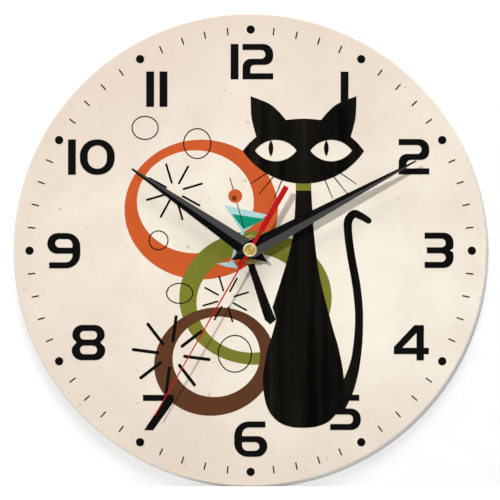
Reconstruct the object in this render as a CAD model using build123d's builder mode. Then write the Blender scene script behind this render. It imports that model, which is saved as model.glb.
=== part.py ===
"""A frameless round wall clock: a printed board, three hands and a battery quartz movement.

Frame: millimetres, +Z up, the dial faces -Y. The origin lies on the axis of the hands, in the
flat back of the movement, which rests on the wall. "Depth" below is the distance from that wall
plane towards the viewer, so depth d is the plane y = -d. Profiles are drawn as the viewer sees
them: x to the right and z up. A pair named for a layer or a span is (back, front) or (low, high).
"""
import math
import os

from build123d import *

# ---- driving dimensions -------------------------------------------------------------------
DIAL_DIAMETER = 250.0
BOARD_THICKNESS = 5.0
BOARD_EDGE = 0.5
CASE_SIDE = 56.0
CASE_DEPTH = 16.0
CASE_WALL = 1.2
CASE_CORNER = 3.5
COVER_THICKNESS = 1.2
CELL_DIAMETER = 14.0
CELL_LENGTH = 50.45
HOUR_HAND_LENGTH = 75.7
MINUTE_HAND_LENGTH = 99.5
SECOND_HAND_LENGTH = 100.5
HAND_WIDTH = 9.26
HAND_TAIL = 11.0
TAIL_POINT = 0.04
HAND_SHEET = 0.4
HAND_RISE = 0.9
HANGER_Z = 36.0
HANGER_HOLE = 4.0

# Where the hands stand at rest, in degrees clockwise from twelve.
HOUR_ANGLE = 304.5
MINUTE_ANGLE = 61.8
SECOND_ANGLE = 209.9

# ---- the stack on the hands' axis: thicknesses and gaps, then the depths they add up to ------
GASKET_THICKNESS = 1.0
WASHER_THICKNESS = 0.5
NUT_HEIGHT = 2.2
BUSH_PAST_NUT = 0.7
HAND_GAP = 0.3
HOUR_COLLET_HEIGHT = 1.8
MINUTE_COLLET_HEIGHT = 1.7
SECOND_SOCKET_HEIGHT = 1.0
SECOND_SHEET = 0.4
CAP_HEIGHT = 1.3

INNER_FRONT = CASE_DEPTH - CASE_WALL
BOARD_BACK = CASE_DEPTH + GASKET_THICKNESS
BOARD_FRONT = BOARD_BACK + BOARD_THICKNESS
WASHER_FRONT = BOARD_FRONT + WASHER_THICKNESS
NUT_FRONT = WASHER_FRONT + NUT_HEIGHT
BUSH_FRONT = NUT_FRONT + BUSH_PAST_NUT
HOUR_BACK = BUSH_FRONT + HAND_GAP
HOUR_FRONT = HOUR_BACK + HOUR_COLLET_HEIGHT
MINUTE_BACK = HOUR_FRONT + HAND_GAP
MINUTE_FRONT = MINUTE_BACK + MINUTE_COLLET_HEIGHT
SECOND_BACK = MINUTE_FRONT + HAND_GAP
SECOND_BLADE = SECOND_BACK + SECOND_SOCKET_HEIGHT
SECOND_FRONT = SECOND_BLADE + SECOND_SHEET
CAP_FRONT = SECOND_FRONT + CAP_HEIGHT

# ---- radii of the shafts that turn inside each other ----------------------------------------
ARBOR = 0.45
PIPE_BORE = 0.52
PIPE = 1.6
HOUR_BORE = 1.68
HOUR_TUBE = 2.55
BUSH_BORE = 2.63
BUSH = 3.9
BUSH_SLIP = 0.05
PIVOT = 0.4
PIVOT_HOLE = 0.46
POST = 0.5
POST_BORE = 0.56
STEM = 1.2
STEM_HOLE = 1.26

# ---- the train: leaves of the driving pinion, teeth of the wheel, module ---------------------
ROTOR_MESH = (12, 60, 0.20)
INTERMEDIATE_MESH = (10, 60, 0.27)
SECOND_MESH = (8, 60, 0.27)
THIRD_MESH = (8, 64, 0.255)
CANNON_MESH = (12, 36, 0.30)
MOTION_MESH = (10, 40, 0.288)
KNOB_MESH = (16, 36, 0.30)

# ---- the layers that the train's wheels and pinions turn in ---------------------------------
ROTOR_PINION = (3.0, 4.6)
ROTOR_COLLAR = (4.6, 5.2)
MAGNET = (5.2, 8.2)
INTERMEDIATE_WHEEL = (3.4, 4.1)
INTERMEDIATE_PINION = (4.1, 6.2)
SECOND_WHEEL = (5.0, 5.8)
SECOND_PINION = (5.8, 7.8)
THIRD_WHEEL = (6.2, 7.0)
THIRD_PINION = (7.0, 9.2)
CENTRE_WHEEL = (8.2, 9.0)
CANNON_PINION = (9.0, 11.4)
MOTION_WHEEL = (9.6, 10.4)
MOTION_PINION = (10.4, 12.8)
HOUR_WHEEL = (11.8, 12.6)


def spacing(mesh):
    """The distance between the axes of a pinion and the wheel it meshes with."""
    leaves, teeth, module = mesh
    return (leaves + teeth) * module / 2


def beside(point, distance, degrees):
    """The point at that distance and direction from another, counter-clockwise from +X."""
    angle = math.radians(degrees)
    return (point[0] + distance * math.cos(angle), point[1] + distance * math.sin(angle))


def direction(start, end):
    """The direction from one point to another, in degrees."""
    return math.degrees(math.atan2(end[1] - start[1], end[0] - start[0]))


# Each axis stands where its mesh reaches; the knob's is chosen, and the motion wheel sits where
# it meets both the cannon pinion and the knob.
THIRD_SIDE = 180
INTERMEDIATE_SIDE = 60
ROTOR_SIDE = 135
CENTRE = (0.0, 0.0)
THIRD = beside(CENTRE, spacing(SECOND_MESH), THIRD_SIDE)
INTERMEDIATE = beside(CENTRE, spacing(INTERMEDIATE_MESH), INTERMEDIATE_SIDE)
ROTOR = beside(INTERMEDIATE, spacing(ROTOR_MESH), ROTOR_SIDE)
KNOB = (13.0, 0.0)
MOTION_X = (spacing(CANNON_MESH) ** 2 - spacing(KNOB_MESH) ** 2 + KNOB[0] ** 2) / (2 * KNOB[0])
MOTION = (MOTION_X, -math.sqrt(spacing(CANNON_MESH) ** 2 - MOTION_X**2))

# ---- the bridge and the pivots ----------------------------------------------------------------
BRIDGE = (1.8, 2.6)
BRIDGE_OUTLINE = [(-19.3, -9.8), (16.5, -9.8), (16.5, 12.5), (6, 18.5), (-7, 18.5), (-19.3, 10.5)]
BRIDGE_CORNER = 1.5
BRIDGE_POSTS = [(-14.0, 11.0), (13.5, 10.5), (12.5, -8.0), (-17.5, -8.0)]
SHOULDER = BRIDGE[1] + 0.2
PIVOT_FRONT = 10.9

# ---- the cell's bay and the electronics ---------------------------------------------------------
HALF = CASE_SIDE / 2
INNER = HALF - CASE_WALL
BAY_TOP = -10.2
BAY_WALL = 1.0
BAY_CEILING = BAY_TOP - BAY_WALL
CELL_RADIUS = CELL_DIAMETER / 2
CELL_Z = (BAY_CEILING - INNER) / 2
CELL_DEPTH = CELL_RADIUS + 0.4
CELL_FOOT = -24.8
CELL_NUB = CELL_FOOT + CELL_LENGTH
CONTACT_SHEET = 0.3
CONTACT_BACK = 10.2
STRIP_BACK = 11.2
CIRCUIT = (12.0, 13.0)
CIRCUIT_X = (18.5, 26.3)
CIRCUIT_Z = (-9.0, 25.5)
CIRCUIT_POSTS = [(22.4, -5.5), (22.4, 22.5)]
COIL_Z = 22.9
COIL_DEPTH = 7.5
STATOR = (6.3, 7.1)


# ---- helpers: each adds to, or cuts from, the part that is being built -----------------------
def at_depth(depth):
    """The plane at that distance from the wall, seen from the front."""
    return Plane.XZ.offset(depth)


def around(value, half):
    """The span that reaches that far to each side of a value."""
    return (value - half, value + half)


def disc(radius, back, front, centre=CENTRE, mode=Mode.ADD):
    with BuildSketch(at_depth(back)) as profile:
        with Locations(centre):
            Circle(radius)
    extrude(profile.sketch, amount=front - back, mode=mode)


def block(x_span, z_span, back, front, mode=Mode.ADD):
    middle = (sum(x_span) / 2, sum(z_span) / 2)
    with BuildSketch(at_depth(back)) as profile:
        with Locations(middle):
            Rectangle(x_span[1] - x_span[0], z_span[1] - z_span[0])
    extrude(profile.sketch, amount=front - back, mode=mode)


def slab(points, back, front, mode=Mode.ADD):
    with BuildSketch(at_depth(back)) as profile:
        with BuildLine():
            Polyline(*points, close=True)
        make_face()
    extrude(profile.sketch, amount=front - back, mode=mode)


def rounded_square(side, corner, back, front, mode=Mode.ADD):
    with BuildSketch(at_depth(back)) as profile:
        RectangleRounded(side, side, corner)
    extrude(profile.sketch, amount=front - back, mode=mode)


def turned(points, centre=CENTRE):
    """A turned piece on a hand's axis, from its (radius, depth) outline."""
    axis_plane = Plane(origin=(centre[0], 0, centre[1]), x_dir=(1, 0, 0), z_dir=(0, 0, 1))
    with BuildSketch(axis_plane) as profile:
        with BuildLine():
            Polyline(*[(radius, -depth) for radius, depth in points], close=True)
        make_face()
    revolve(profile.sketch, axis=Axis((centre[0], 0, centre[1]), (0, 1, 0)))


def toothed(count, side, centre, start):
    """A toothed outline: half a tooth's (radius, angle) points, mirrored and turned count times."""
    tooth = side + [(radius, -angle) for radius, angle in reversed(side)]
    pitch = 360 / count
    return [
        beside(centre, radius, start + number * pitch + angle)
        for number in range(count)
        for radius, angle in tooth
    ]


def tooth_side(count, module, width, root, shoulder, tip, crown):
    """One side of a tooth: a radial flank to the pitch circle, then a rounded end.

    The lengths are in modules. At the shoulder the tooth has kept SHOULDER_SHARE of its width,
    and at the tip the share named crown.
    """
    pitch_radius = count * module / 2
    half = math.degrees(width * module / 2 / pitch_radius)
    return [
        (pitch_radius - root * module, -half),
        (pitch_radius, -half),
        (pitch_radius + shoulder * module, -half * SHOULDER_SHARE),
        (pitch_radius + tip * module, -half * crown),
    ]


SHOULDER_SHARE = 0.66


def wheel(teeth, module, centre, tooth_at, back, front):
    side = tooth_side(teeth, module, width=1.40, root=1.25, shoulder=0.55, tip=0.95, crown=0.25)
    slab(toothed(teeth, side, centre, tooth_at), back, front)


def pinion(leaves, module, centre, leaf_at, back, front):
    side = tooth_side(leaves, module, width=1.15, root=1.45, shoulder=0.45, tip=0.70, crown=0.30)
    slab(toothed(leaves, side, centre, leaf_at), back, front)


def web(rim, hub, centre, back, sink):
    """A ring sunk into a wheel's back face, which leaves it a thin web between hub and rim."""
    disc(rim, back, back + sink, centre, mode=Mode.SUBTRACT)
    disc(hub, back, back + sink, centre)


def facing_gap(teeth, degrees):
    """Where a tooth stands when the wheel turns a gap towards that direction."""
    return degrees + 180 / teeth


def hand_plane(clock_angle, depth):
    """A plane whose x axis runs along a hand, at that depth."""
    along = math.radians(90 - clock_angle)
    return Plane(origin=(0, -depth, 0), x_dir=(math.cos(along), 0, math.sin(along)), z_dir=(0, -1, 0))


def folded_section(clock_angle, back, station, size):
    """The folded sheet's cross-section at a place along a hand, shrunk by a factor."""
    along = math.radians(90 - clock_angle)
    run = Vector(math.cos(along), 0, math.sin(along))
    plane = Plane(origin=Vector(0, -back, 0) + run * station, x_dir=(0, -1, 0), z_dir=run)
    half_width, rise = size * HAND_WIDTH / 2, size * HAND_RISE
    with BuildSketch(plane) as section:
        with BuildLine():
            Polyline(
                (0, -half_width),
                (rise, 0),
                (0, half_width),
                (HAND_SHEET, half_width),
                (rise + HAND_SHEET, 0),
                (HAND_SHEET, -half_width),
                close=True,
            )
        make_face()
    return section.sketch


def folded_hand(length, tip_width, clock_angle, back, bore):
    """A kite of thin sheet, folded along its middle; the ridge falls away to the pointed tail."""
    half_width = HAND_WIDTH / 2
    with BuildSketch(hand_plane(clock_angle, back)) as blade:
        with BuildLine():
            Polyline(
                (length, tip_width / 2),
                (0, half_width),
                (0, -half_width),
                (length, -tip_width / 2),
                close=True,
            )
        make_face()
    extrude(blade.sketch, amount=HAND_RISE + HAND_SHEET)
    widest = folded_section(clock_angle, back, 0, 1)
    extrude(widest, amount=length, mode=Mode.INTERSECT)
    loft([folded_section(clock_angle, back, -HAND_TAIL, TAIL_POINT), widest], ruled=True)
    disc(bore, back, back + HAND_RISE + HAND_SHEET, mode=Mode.SUBTRACT)


os.makedirs("parts", exist_ok=True)

# ======== the dial and what clamps the movement to it ========================================
BOARD_HOLE = BUSH + 0.3
with BuildPart() as dial_board:
    disc(DIAL_DIAMETER / 2, BOARD_BACK, BOARD_FRONT)
    disc(BOARD_HOLE, BOARD_BACK, BOARD_FRONT, mode=Mode.SUBTRACT)
    rims = dial_board.edges().filter_by(GeomType.CIRCLE).group_by(SortBy.RADIUS)[-1]
    fillet(rims, radius=BOARD_EDGE)
dial_board.part.label = "dial_board"
export_step(dial_board.part, "parts/dial_board.step")

GASKET_RADIUS = 10.0
with BuildPart() as rubber_gasket:
    disc(GASKET_RADIUS, CASE_DEPTH, BOARD_BACK)
    disc(BUSH + BUSH_SLIP, CASE_DEPTH, BOARD_BACK, mode=Mode.SUBTRACT)
rubber_gasket.part.label = "rubber_gasket"
export_step(rubber_gasket.part, "parts/rubber_gasket.step")

WASHER_RADIUS = 7.5
WASHER_BEVEL = 0.15
with BuildPart() as brass_washer:
    disc(WASHER_RADIUS, BOARD_FRONT, WASHER_FRONT)
    disc(BUSH + BUSH_SLIP, BOARD_FRONT, WASHER_FRONT, mode=Mode.SUBTRACT)
    outer_rim = brass_washer.edges().filter_by(GeomType.CIRCLE).group_by(SortBy.RADIUS)[-1]
    chamfer(outer_rim.sort_by(Axis.Y)[0], length=WASHER_BEVEL)
brass_washer.part.label = "brass_washer"
export_step(brass_washer.part, "parts/brass_washer.step")

NUT_FLAT = 5.5
NUT_CORNER = NUT_FLAT / math.cos(math.radians(30))
NUT_BEVEL = 0.4
with BuildPart() as hex_nut:
    # A blank turned to the corners, bevelled at both faces, then cut to the six flats.
    turned(
        [
            (0, WASHER_FRONT),
            (NUT_FLAT, WASHER_FRONT),
            (NUT_CORNER, WASHER_FRONT + NUT_BEVEL),
            (NUT_CORNER, NUT_FRONT - NUT_BEVEL),
            (NUT_FLAT, NUT_FRONT),
            (0, NUT_FRONT),
        ]
    )
    with BuildSketch(at_depth(WASHER_FRONT)):
        RegularPolygon(NUT_FLAT, 6, major_radius=False)
    extrude(amount=NUT_FRONT - WASHER_FRONT, mode=Mode.INTERSECT)
    disc(BUSH, WASHER_FRONT, NUT_FRONT, mode=Mode.SUBTRACT)
hex_nut.part.label = "hex_nut"
export_step(hex_nut.part, "parts/hex_nut.step")

BUSH_FLANGE = 5.5
BUSH_FLANGE_BACK = 13.6
BUSH_BEVEL = 0.3
with BuildPart() as threaded_bush:
    disc(BUSH_FLANGE, BUSH_FLANGE_BACK, INNER_FRONT)
    disc(BUSH, INNER_FRONT, BUSH_FRONT)
    chamfer(threaded_bush.faces().sort_by(Axis.Y)[0].edges(), length=BUSH_BEVEL)
    disc(BUSH_BORE, BUSH_FLANGE_BACK, BUSH_FRONT, mode=Mode.SUBTRACT)
threaded_bush.part.label = "threaded_bush"
export_step(threaded_bush.part, "parts/threaded_bush.step")

# ======== the hands ==========================================================================
HOUR_TIP, MINUTE_TIP = 1.1, 0.8
HOUR_COLLET, MINUTE_COLLET = 3.4, 2.5
HOUR_SEAT, MINUTE_SEAT = 0.3, 0.2
with BuildPart() as hour_hand:
    folded_hand(HOUR_HAND_LENGTH, HOUR_TIP, HOUR_ANGLE, HOUR_BACK + HOUR_SEAT, HOUR_COLLET)
hour_hand.part.label = "hour_hand"
export_step(hour_hand.part, "parts/hour_hand.step")

with BuildPart() as hour_collet:
    disc(HOUR_COLLET, HOUR_BACK, HOUR_FRONT)
    disc(HOUR_TUBE, HOUR_BACK, HOUR_FRONT, mode=Mode.SUBTRACT)
hour_collet.part.label = "hour_collet"
export_step(hour_collet.part, "parts/hour_collet.step")

with BuildPart() as minute_hand:
    folded_hand(MINUTE_HAND_LENGTH, MINUTE_TIP, MINUTE_ANGLE, MINUTE_BACK + MINUTE_SEAT, MINUTE_COLLET)
minute_hand.part.label = "minute_hand"
export_step(minute_hand.part, "parts/minute_hand.step")

with BuildPart() as minute_collet:
    disc(MINUTE_COLLET, MINUTE_BACK, MINUTE_FRONT)
    disc(PIPE, MINUTE_BACK, MINUTE_FRONT, mode=Mode.SUBTRACT)
minute_collet.part.label = "minute_collet"
export_step(minute_collet.part, "parts/minute_collet.step")

# The second hand is a flat needle; behind the axis it widens to a bar, then to a counterweight.
# Each bar is (start, end, width), measured along the hand.
SECOND_SOCKET = 0.9
NEEDLE_ROOT, NEEDLE_TIP = 0.85, 0.53
HUB_BAR = (-13.0, 11.6, 1.85)
WEIGHT_BAR = (-38.6, -11.9, 2.96)
with BuildPart() as second_hand:
    with BuildSketch(hand_plane(SECOND_ANGLE, SECOND_BLADE)):
        with BuildLine():
            Polyline(
                (SECOND_HAND_LENGTH, NEEDLE_TIP / 2),
                (0, NEEDLE_ROOT / 2),
                (0, -NEEDLE_ROOT / 2),
                (SECOND_HAND_LENGTH, -NEEDLE_TIP / 2),
                close=True,
            )
        make_face()
        for start, end, width in (HUB_BAR, WEIGHT_BAR):
            with Locations(((start + end) / 2, 0)):
                Rectangle(end - start, width)
        Circle(SECOND_SOCKET, mode=Mode.SUBTRACT)
    extrude(amount=SECOND_SHEET)
second_hand.part.label = "second_hand"
export_step(second_hand.part, "parts/second_hand.step")

with BuildPart() as second_socket:
    disc(SECOND_SOCKET, SECOND_BACK, SECOND_FRONT)
    disc(ARBOR, SECOND_BACK, SECOND_FRONT, mode=Mode.SUBTRACT)
second_socket.part.label = "second_socket"
export_step(second_socket.part, "parts/second_socket.step")

CAP_RADIUS = 3.7
CAP_DISH = 2.7
CAP_BEVEL = 0.3
CAP_ROLL = 0.5
CAP_BREAK = 0.15
CAP_SINK = 0.25
with BuildPart() as second_cap:
    turned(
        [
            (0, SECOND_FRONT),
            (CAP_RADIUS - CAP_BEVEL, SECOND_FRONT),
            (CAP_RADIUS, SECOND_FRONT + CAP_BEVEL),
            (CAP_RADIUS, CAP_FRONT - CAP_ROLL),
            (CAP_RADIUS - CAP_BREAK, CAP_FRONT - CAP_BREAK),
            (CAP_RADIUS - CAP_ROLL, CAP_FRONT),
            (CAP_DISH + CAP_SINK, CAP_FRONT),
            (CAP_DISH, CAP_FRONT - CAP_SINK),
            (0, CAP_FRONT - CAP_SINK),
        ]
    )
second_cap.part.label = "second_cap"
export_step(second_cap.part, "parts/second_cap.step")

# ======== the movement's case ================================================================
CASE_BEVEL = 0.6
POSITIVE_SLOT = (25.4, INNER)
NEGATIVE_SLOT = (-INNER, -25.9)
BOSS_BACK = 9.6
WHEEL_FLOAT = 0.3
END_SHAKE = 0.2
WIDE_BOSS, NARROW_BOSS = 1.3, 0.9
MOTION_POST_BACK = 9.3
KNOB_BOSS = 1.6
KNOB_BOSS_BACK = 12.0
KNOB_PIN, KNOB_PIN_HOLE = 0.6, 0.66
KNOB_PIN_FRONT = 13.3
KNOB_PIN_ROOM = 0.3
POST_OUTER = 1.2
POST_PIN = 0.7

with BuildPart() as front_case:
    rounded_square(CASE_SIDE, CASE_CORNER, COVER_THICKNESS, CASE_DEPTH)
    chamfer(front_case.faces().sort_by(Axis.Y)[0].edges(), length=CASE_BEVEL)
    inner_corner = CASE_CORNER - CASE_WALL
    rounded_square(2 * INNER, inner_corner, COVER_THICKNESS, INNER_FRONT, mode=Mode.SUBTRACT)
    # The wall between the wheels and the cell's bay, with a slot at each end for a contact.
    block((-INNER, INNER), (BAY_CEILING, BAY_TOP), COVER_THICKNESS, INNER_FRONT)
    block(POSITIVE_SLOT, (BAY_CEILING, BAY_TOP), CONTACT_BACK, INNER_FRONT, mode=Mode.SUBTRACT)
    block(NEGATIVE_SLOT, (BAY_CEILING, BAY_TOP), STRIP_BACK, INNER_FRONT, mode=Mode.SUBTRACT)
    disc(BUSH + BUSH_SLIP, INNER_FRONT, CASE_DEPTH, mode=Mode.SUBTRACT)
    # Bosses for the front pivots, the post the motion wheel turns on, and the knob's bearing.
    for pivot_axis, boss in ((THIRD, WIDE_BOSS), (ROTOR, WIDE_BOSS), (INTERMEDIATE, NARROW_BOSS)):
        disc(boss, BOSS_BACK, INNER_FRONT, pivot_axis)
        disc(PIVOT_HOLE, BOSS_BACK, PIVOT_FRONT + END_SHAKE, pivot_axis, mode=Mode.SUBTRACT)
    disc(POST, MOTION_POST_BACK, INNER_FRONT, MOTION)
    disc(KNOB_BOSS, KNOB_BOSS_BACK, INNER_FRONT, KNOB)
    disc(KNOB_PIN_HOLE, KNOB_BOSS_BACK, KNOB_PIN_FRONT + KNOB_PIN_ROOM, KNOB, mode=Mode.SUBTRACT)
    # Posts whose pins locate the bridge and the circuit board.
    for posts, (layer_back, layer_front) in ((BRIDGE_POSTS, BRIDGE), (CIRCUIT_POSTS, CIRCUIT)):
        for post in posts:
            disc(POST_OUTER, layer_front, INNER_FRONT, post)
            disc(POST_PIN, layer_back, layer_front, post)
front_case.part.label = "front_case"
export_step(front_case.part, "parts/front_case.step")

KNOB_OPENING = 5.9
LUG_RADIUS = 7.5
LUG_THICKNESS = 2.4
LUG_ROOT, LUG_ROOT_Z = 11.0, 24.0
LUG_STEP = 10.0
LIP_FRONT = 2.2
LIP_OUTER = INNER - 0.1
LIP_INNER = LIP_OUTER - 0.8
LIP_END = 24.5
LIP_START = BAY_TOP + 0.5
WINDOW_ROOM = 0.3
WINDOW_X = INNER - 0.2
with BuildPart() as back_cover:
    rounded_square(CASE_SIDE, CASE_CORNER, 0, COVER_THICKNESS)
    # The hanging lug: a tongue above the case with a round hole for a nail or screw.
    lug_top = [(LUG_RADIUS, HANGER_Z), (-LUG_RADIUS, HANGER_Z)]
    slab([(-LUG_ROOT, LUG_ROOT_Z), (LUG_ROOT, LUG_ROOT_Z), *lug_top], 0, COVER_THICKNESS)
    slab([(-LUG_STEP, HALF), (LUG_STEP, HALF), *lug_top], 0, LUG_THICKNESS)
    disc(LUG_RADIUS, 0, LUG_THICKNESS, (0, HANGER_Z))
    disc(HANGER_HOLE, 0, LUG_THICKNESS, (0, HANGER_Z), mode=Mode.SUBTRACT)
    # Lips that drop inside the case's top and side walls.
    block((-LIP_END, LIP_END), (LIP_INNER, LIP_OUTER), COVER_THICKNESS, LIP_FRONT)
    block((LIP_INNER, LIP_OUTER), (LIP_START, LIP_END), COVER_THICKNESS, LIP_FRONT)
    block((-LIP_OUTER, -LIP_INNER), (LIP_START, LIP_END), COVER_THICKNESS, LIP_FRONT)
    disc(KNOB_OPENING, 0, COVER_THICKNESS, KNOB, mode=Mode.SUBTRACT)
    cell_window = around(CELL_Z, CELL_RADIUS + WINDOW_ROOM)
    block((-WINDOW_X, WINDOW_X), cell_window, 0, COVER_THICKNESS, mode=Mode.SUBTRACT)
back_cover.part.label = "back_cover"
export_step(back_cover.part, "parts/back_cover.step")

with BuildPart() as train_bridge:
    with BuildSketch(at_depth(BRIDGE[0])) as bridge_profile:
        with BuildLine():
            Polyline(*BRIDGE_OUTLINE, close=True)
        make_face()
        fillet(bridge_profile.vertices(), radius=BRIDGE_CORNER)
    extrude(amount=BRIDGE[1] - BRIDGE[0])
    for pivot_axis in (CENTRE, THIRD, INTERMEDIATE, ROTOR):
        disc(PIVOT_HOLE, *BRIDGE, pivot_axis, mode=Mode.SUBTRACT)
    disc(STEM_HOLE, *BRIDGE, KNOB, mode=Mode.SUBTRACT)
    for post in BRIDGE_POSTS:
        disc(POST_PIN, *BRIDGE, post, mode=Mode.SUBTRACT)
train_bridge.part.label = "train_bridge"
export_step(train_bridge.part, "parts/train_bridge.step")

# ======== the electronics ====================================================================
with BuildPart() as circuit_board:
    block(CIRCUIT_X, CIRCUIT_Z, *CIRCUIT)
    for post in CIRCUIT_POSTS:
        disc(POST_PIN, *CIRCUIT, post, mode=Mode.SUBTRACT)
circuit_board.part.label = "circuit_board"
export_step(circuit_board.part, "parts/circuit_board.step")

CHIP = (22.4, 4.0)
BLOB_RADIUS = 2.6
BLOB_HEIGHT = 1.1
BLOB_ROUND = 0.9
with BuildPart() as chip_blob:
    disc(BLOB_RADIUS, CIRCUIT[0] - BLOB_HEIGHT, CIRCUIT[0], CHIP)
    fillet(chip_blob.faces().sort_by(Axis.Y)[-1].edges(), radius=BLOB_ROUND)
chip_blob.part.label = "chip_blob"
export_step(chip_blob.part, "parts/chip_blob.step")

CRYSTAL_RADIUS = 1.0
CRYSTAL_LENGTH = 6.2
CRYSTAL_BEVEL = 0.3
CRYSTAL = (22.4, 10.0)
LEAD_SPREAD = 0.4
LEAD_HALF = 0.1
LEAD_FOOT = 8.2
with BuildPart() as quartz_crystal:
    crystal_depth = CIRCUIT[0] - CRYSTAL_RADIUS
    with BuildSketch(Plane.XY.offset(CRYSTAL[1])):
        with Locations((CRYSTAL[0], -crystal_depth)):
            Circle(CRYSTAL_RADIUS)
    extrude(amount=CRYSTAL_LENGTH)
    chamfer(quartz_crystal.faces().sort_by(Axis.Z)[-1].edges(), length=CRYSTAL_BEVEL)
    # Two leads run from the can's foot to the board.
    for lead_x in around(CRYSTAL[0], LEAD_SPREAD):
        lead = around(lead_x, LEAD_HALF)
        block(lead, (LEAD_FOOT, CRYSTAL[1]), *around(crystal_depth, LEAD_HALF))
        block(lead, (LEAD_FOOT, LEAD_FOOT + 2 * LEAD_HALF), crystal_depth - LEAD_HALF, CIRCUIT[0])
quartz_crystal.part.label = "quartz_crystal"
export_step(quartz_crystal.part, "parts/quartz_crystal.step")

CORE_X = (-10.0, 15.0)
CORE_HALF = 1.0
CORE_THICKNESS = 0.8
CORE_SLIP = 0.05
BARREL_X = (-6.5, 11.5)
BARREL_LENGTH = BARREL_X[1] - BARREL_X[0]
BARREL_RADIUS = 1.5
FLANGE = 0.8
FLANGE_RADIUS = 3.2
WINDING_RADIUS = 2.9
coil_plane = Plane(origin=(BARREL_X[0], -COIL_DEPTH, COIL_Z), x_dir=(0, -1, 0), z_dir=(1, 0, 0))
with BuildPart() as coil_core:
    block(CORE_X, around(COIL_Z, CORE_HALF), STATOR[1], STATOR[1] + CORE_THICKNESS)
coil_core.part.label = "coil_core"
export_step(coil_core.part, "parts/coil_core.step")

with BuildPart() as coil_bobbin:
    with BuildSketch(coil_plane):
        Circle(BARREL_RADIUS)
    extrude(amount=BARREL_LENGTH)
    for flange_plane in (coil_plane, coil_plane.offset(BARREL_LENGTH - FLANGE)):
        with BuildSketch(flange_plane):
            Circle(FLANGE_RADIUS)
        extrude(amount=FLANGE)
    core_back, core_front = STATOR[1] - CORE_SLIP, STATOR[1] + CORE_THICKNESS + CORE_SLIP
    block(BARREL_X, around(COIL_Z, CORE_HALF + CORE_SLIP), core_back, core_front, mode=Mode.SUBTRACT)
coil_bobbin.part.label = "coil_bobbin"
export_step(coil_bobbin.part, "parts/coil_bobbin.step")

with BuildPart() as coil_winding:
    with BuildSketch(coil_plane.offset(FLANGE)):
        Circle(WINDING_RADIUS)
        Circle(BARREL_RADIUS, mode=Mode.SUBTRACT)
    extrude(amount=BARREL_LENGTH - 2 * FLANGE)
coil_winding.part.label = "coil_winding"
export_step(coil_winding.part, "parts/coil_winding.step")

# The stator's arms pass each side of the bobbin and come down to the rotor's hole.
STATOR_HOLE = 3.5
STATOR_ARM_TOP = COIL_Z + 2.1
STATOR_WINDOW = around((BARREL_X[0] + BARREL_X[1]) / 2, BARREL_LENGTH / 2 + 0.4)
STATOR_YOKE = ROTOR[1] + 4.6
STATOR_WAIST = ROTOR[1] + 3.0
STATOR_TOE_X = around(ROTOR[0], 3.0)
STATOR_TOE = ROTOR[1] - 4.2
NOTCH = 0.5
NOTCH_AT = 2.5
with BuildPart() as stator:
    with BuildSketch(at_depth(STATOR[0])):
        with BuildLine():
            Polyline(
                (CORE_X[0], STATOR_ARM_TOP),
                (STATOR_WINDOW[0], STATOR_ARM_TOP),
                (STATOR_WINDOW[0], STATOR_YOKE),
                (STATOR_WINDOW[1], STATOR_YOKE),
                (STATOR_WINDOW[1], STATOR_ARM_TOP),
                (CORE_X[1], STATOR_ARM_TOP),
                (CORE_X[1], STATOR_WAIST),
                (STATOR_TOE_X[1], STATOR_TOE),
                (STATOR_TOE_X[0], STATOR_TOE),
                (CORE_X[0], STATOR_WAIST),
                close=True,
            )
        make_face()
        with Locations(ROTOR):
            Circle(STATOR_HOLE, mode=Mode.SUBTRACT)
            # Two shallow notches, which make the magnet rest off the coil's line.
            with Locations((NOTCH_AT, NOTCH_AT), (-NOTCH_AT, -NOTCH_AT)):
                Circle(NOTCH, mode=Mode.SUBTRACT)
    extrude(amount=STATOR[1] - STATOR[0])
stator.part.label = "stator"
export_step(stator.part, "parts/stator.step")

# ======== the train, from the rotor to the hands =============================================
MAGNET_RADIUS = 3.0
MAGNET_HUB = 0.9
COLLAR_RADIUS = 1.9
with BuildPart() as rotor_pinion:
    leaf = direction(ROTOR, INTERMEDIATE)
    pinion(ROTOR_MESH[0], ROTOR_MESH[2], ROTOR, leaf, *ROTOR_PINION)
    disc(COLLAR_RADIUS, *ROTOR_COLLAR, ROTOR)
    disc(MAGNET_HUB, *MAGNET, ROTOR)
    disc(PIVOT, ROTOR_PINION[0], MAGNET[1], ROTOR, mode=Mode.SUBTRACT)
rotor_pinion.part.label = "rotor_pinion"
export_step(rotor_pinion.part, "parts/rotor_pinion.step")

with BuildPart() as rotor_magnet:
    disc(MAGNET_RADIUS, *MAGNET, ROTOR)
    disc(MAGNET_HUB, *MAGNET, ROTOR, mode=Mode.SUBTRACT)
rotor_magnet.part.label = "rotor_magnet"
export_step(rotor_magnet.part, "parts/rotor_magnet.step")

with BuildPart() as rotor_arbor:
    disc(PIVOT, BRIDGE[0], PIVOT_FRONT, ROTOR)
rotor_arbor.part.label = "rotor_arbor"
export_step(rotor_arbor.part, "parts/rotor_arbor.step")

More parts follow.
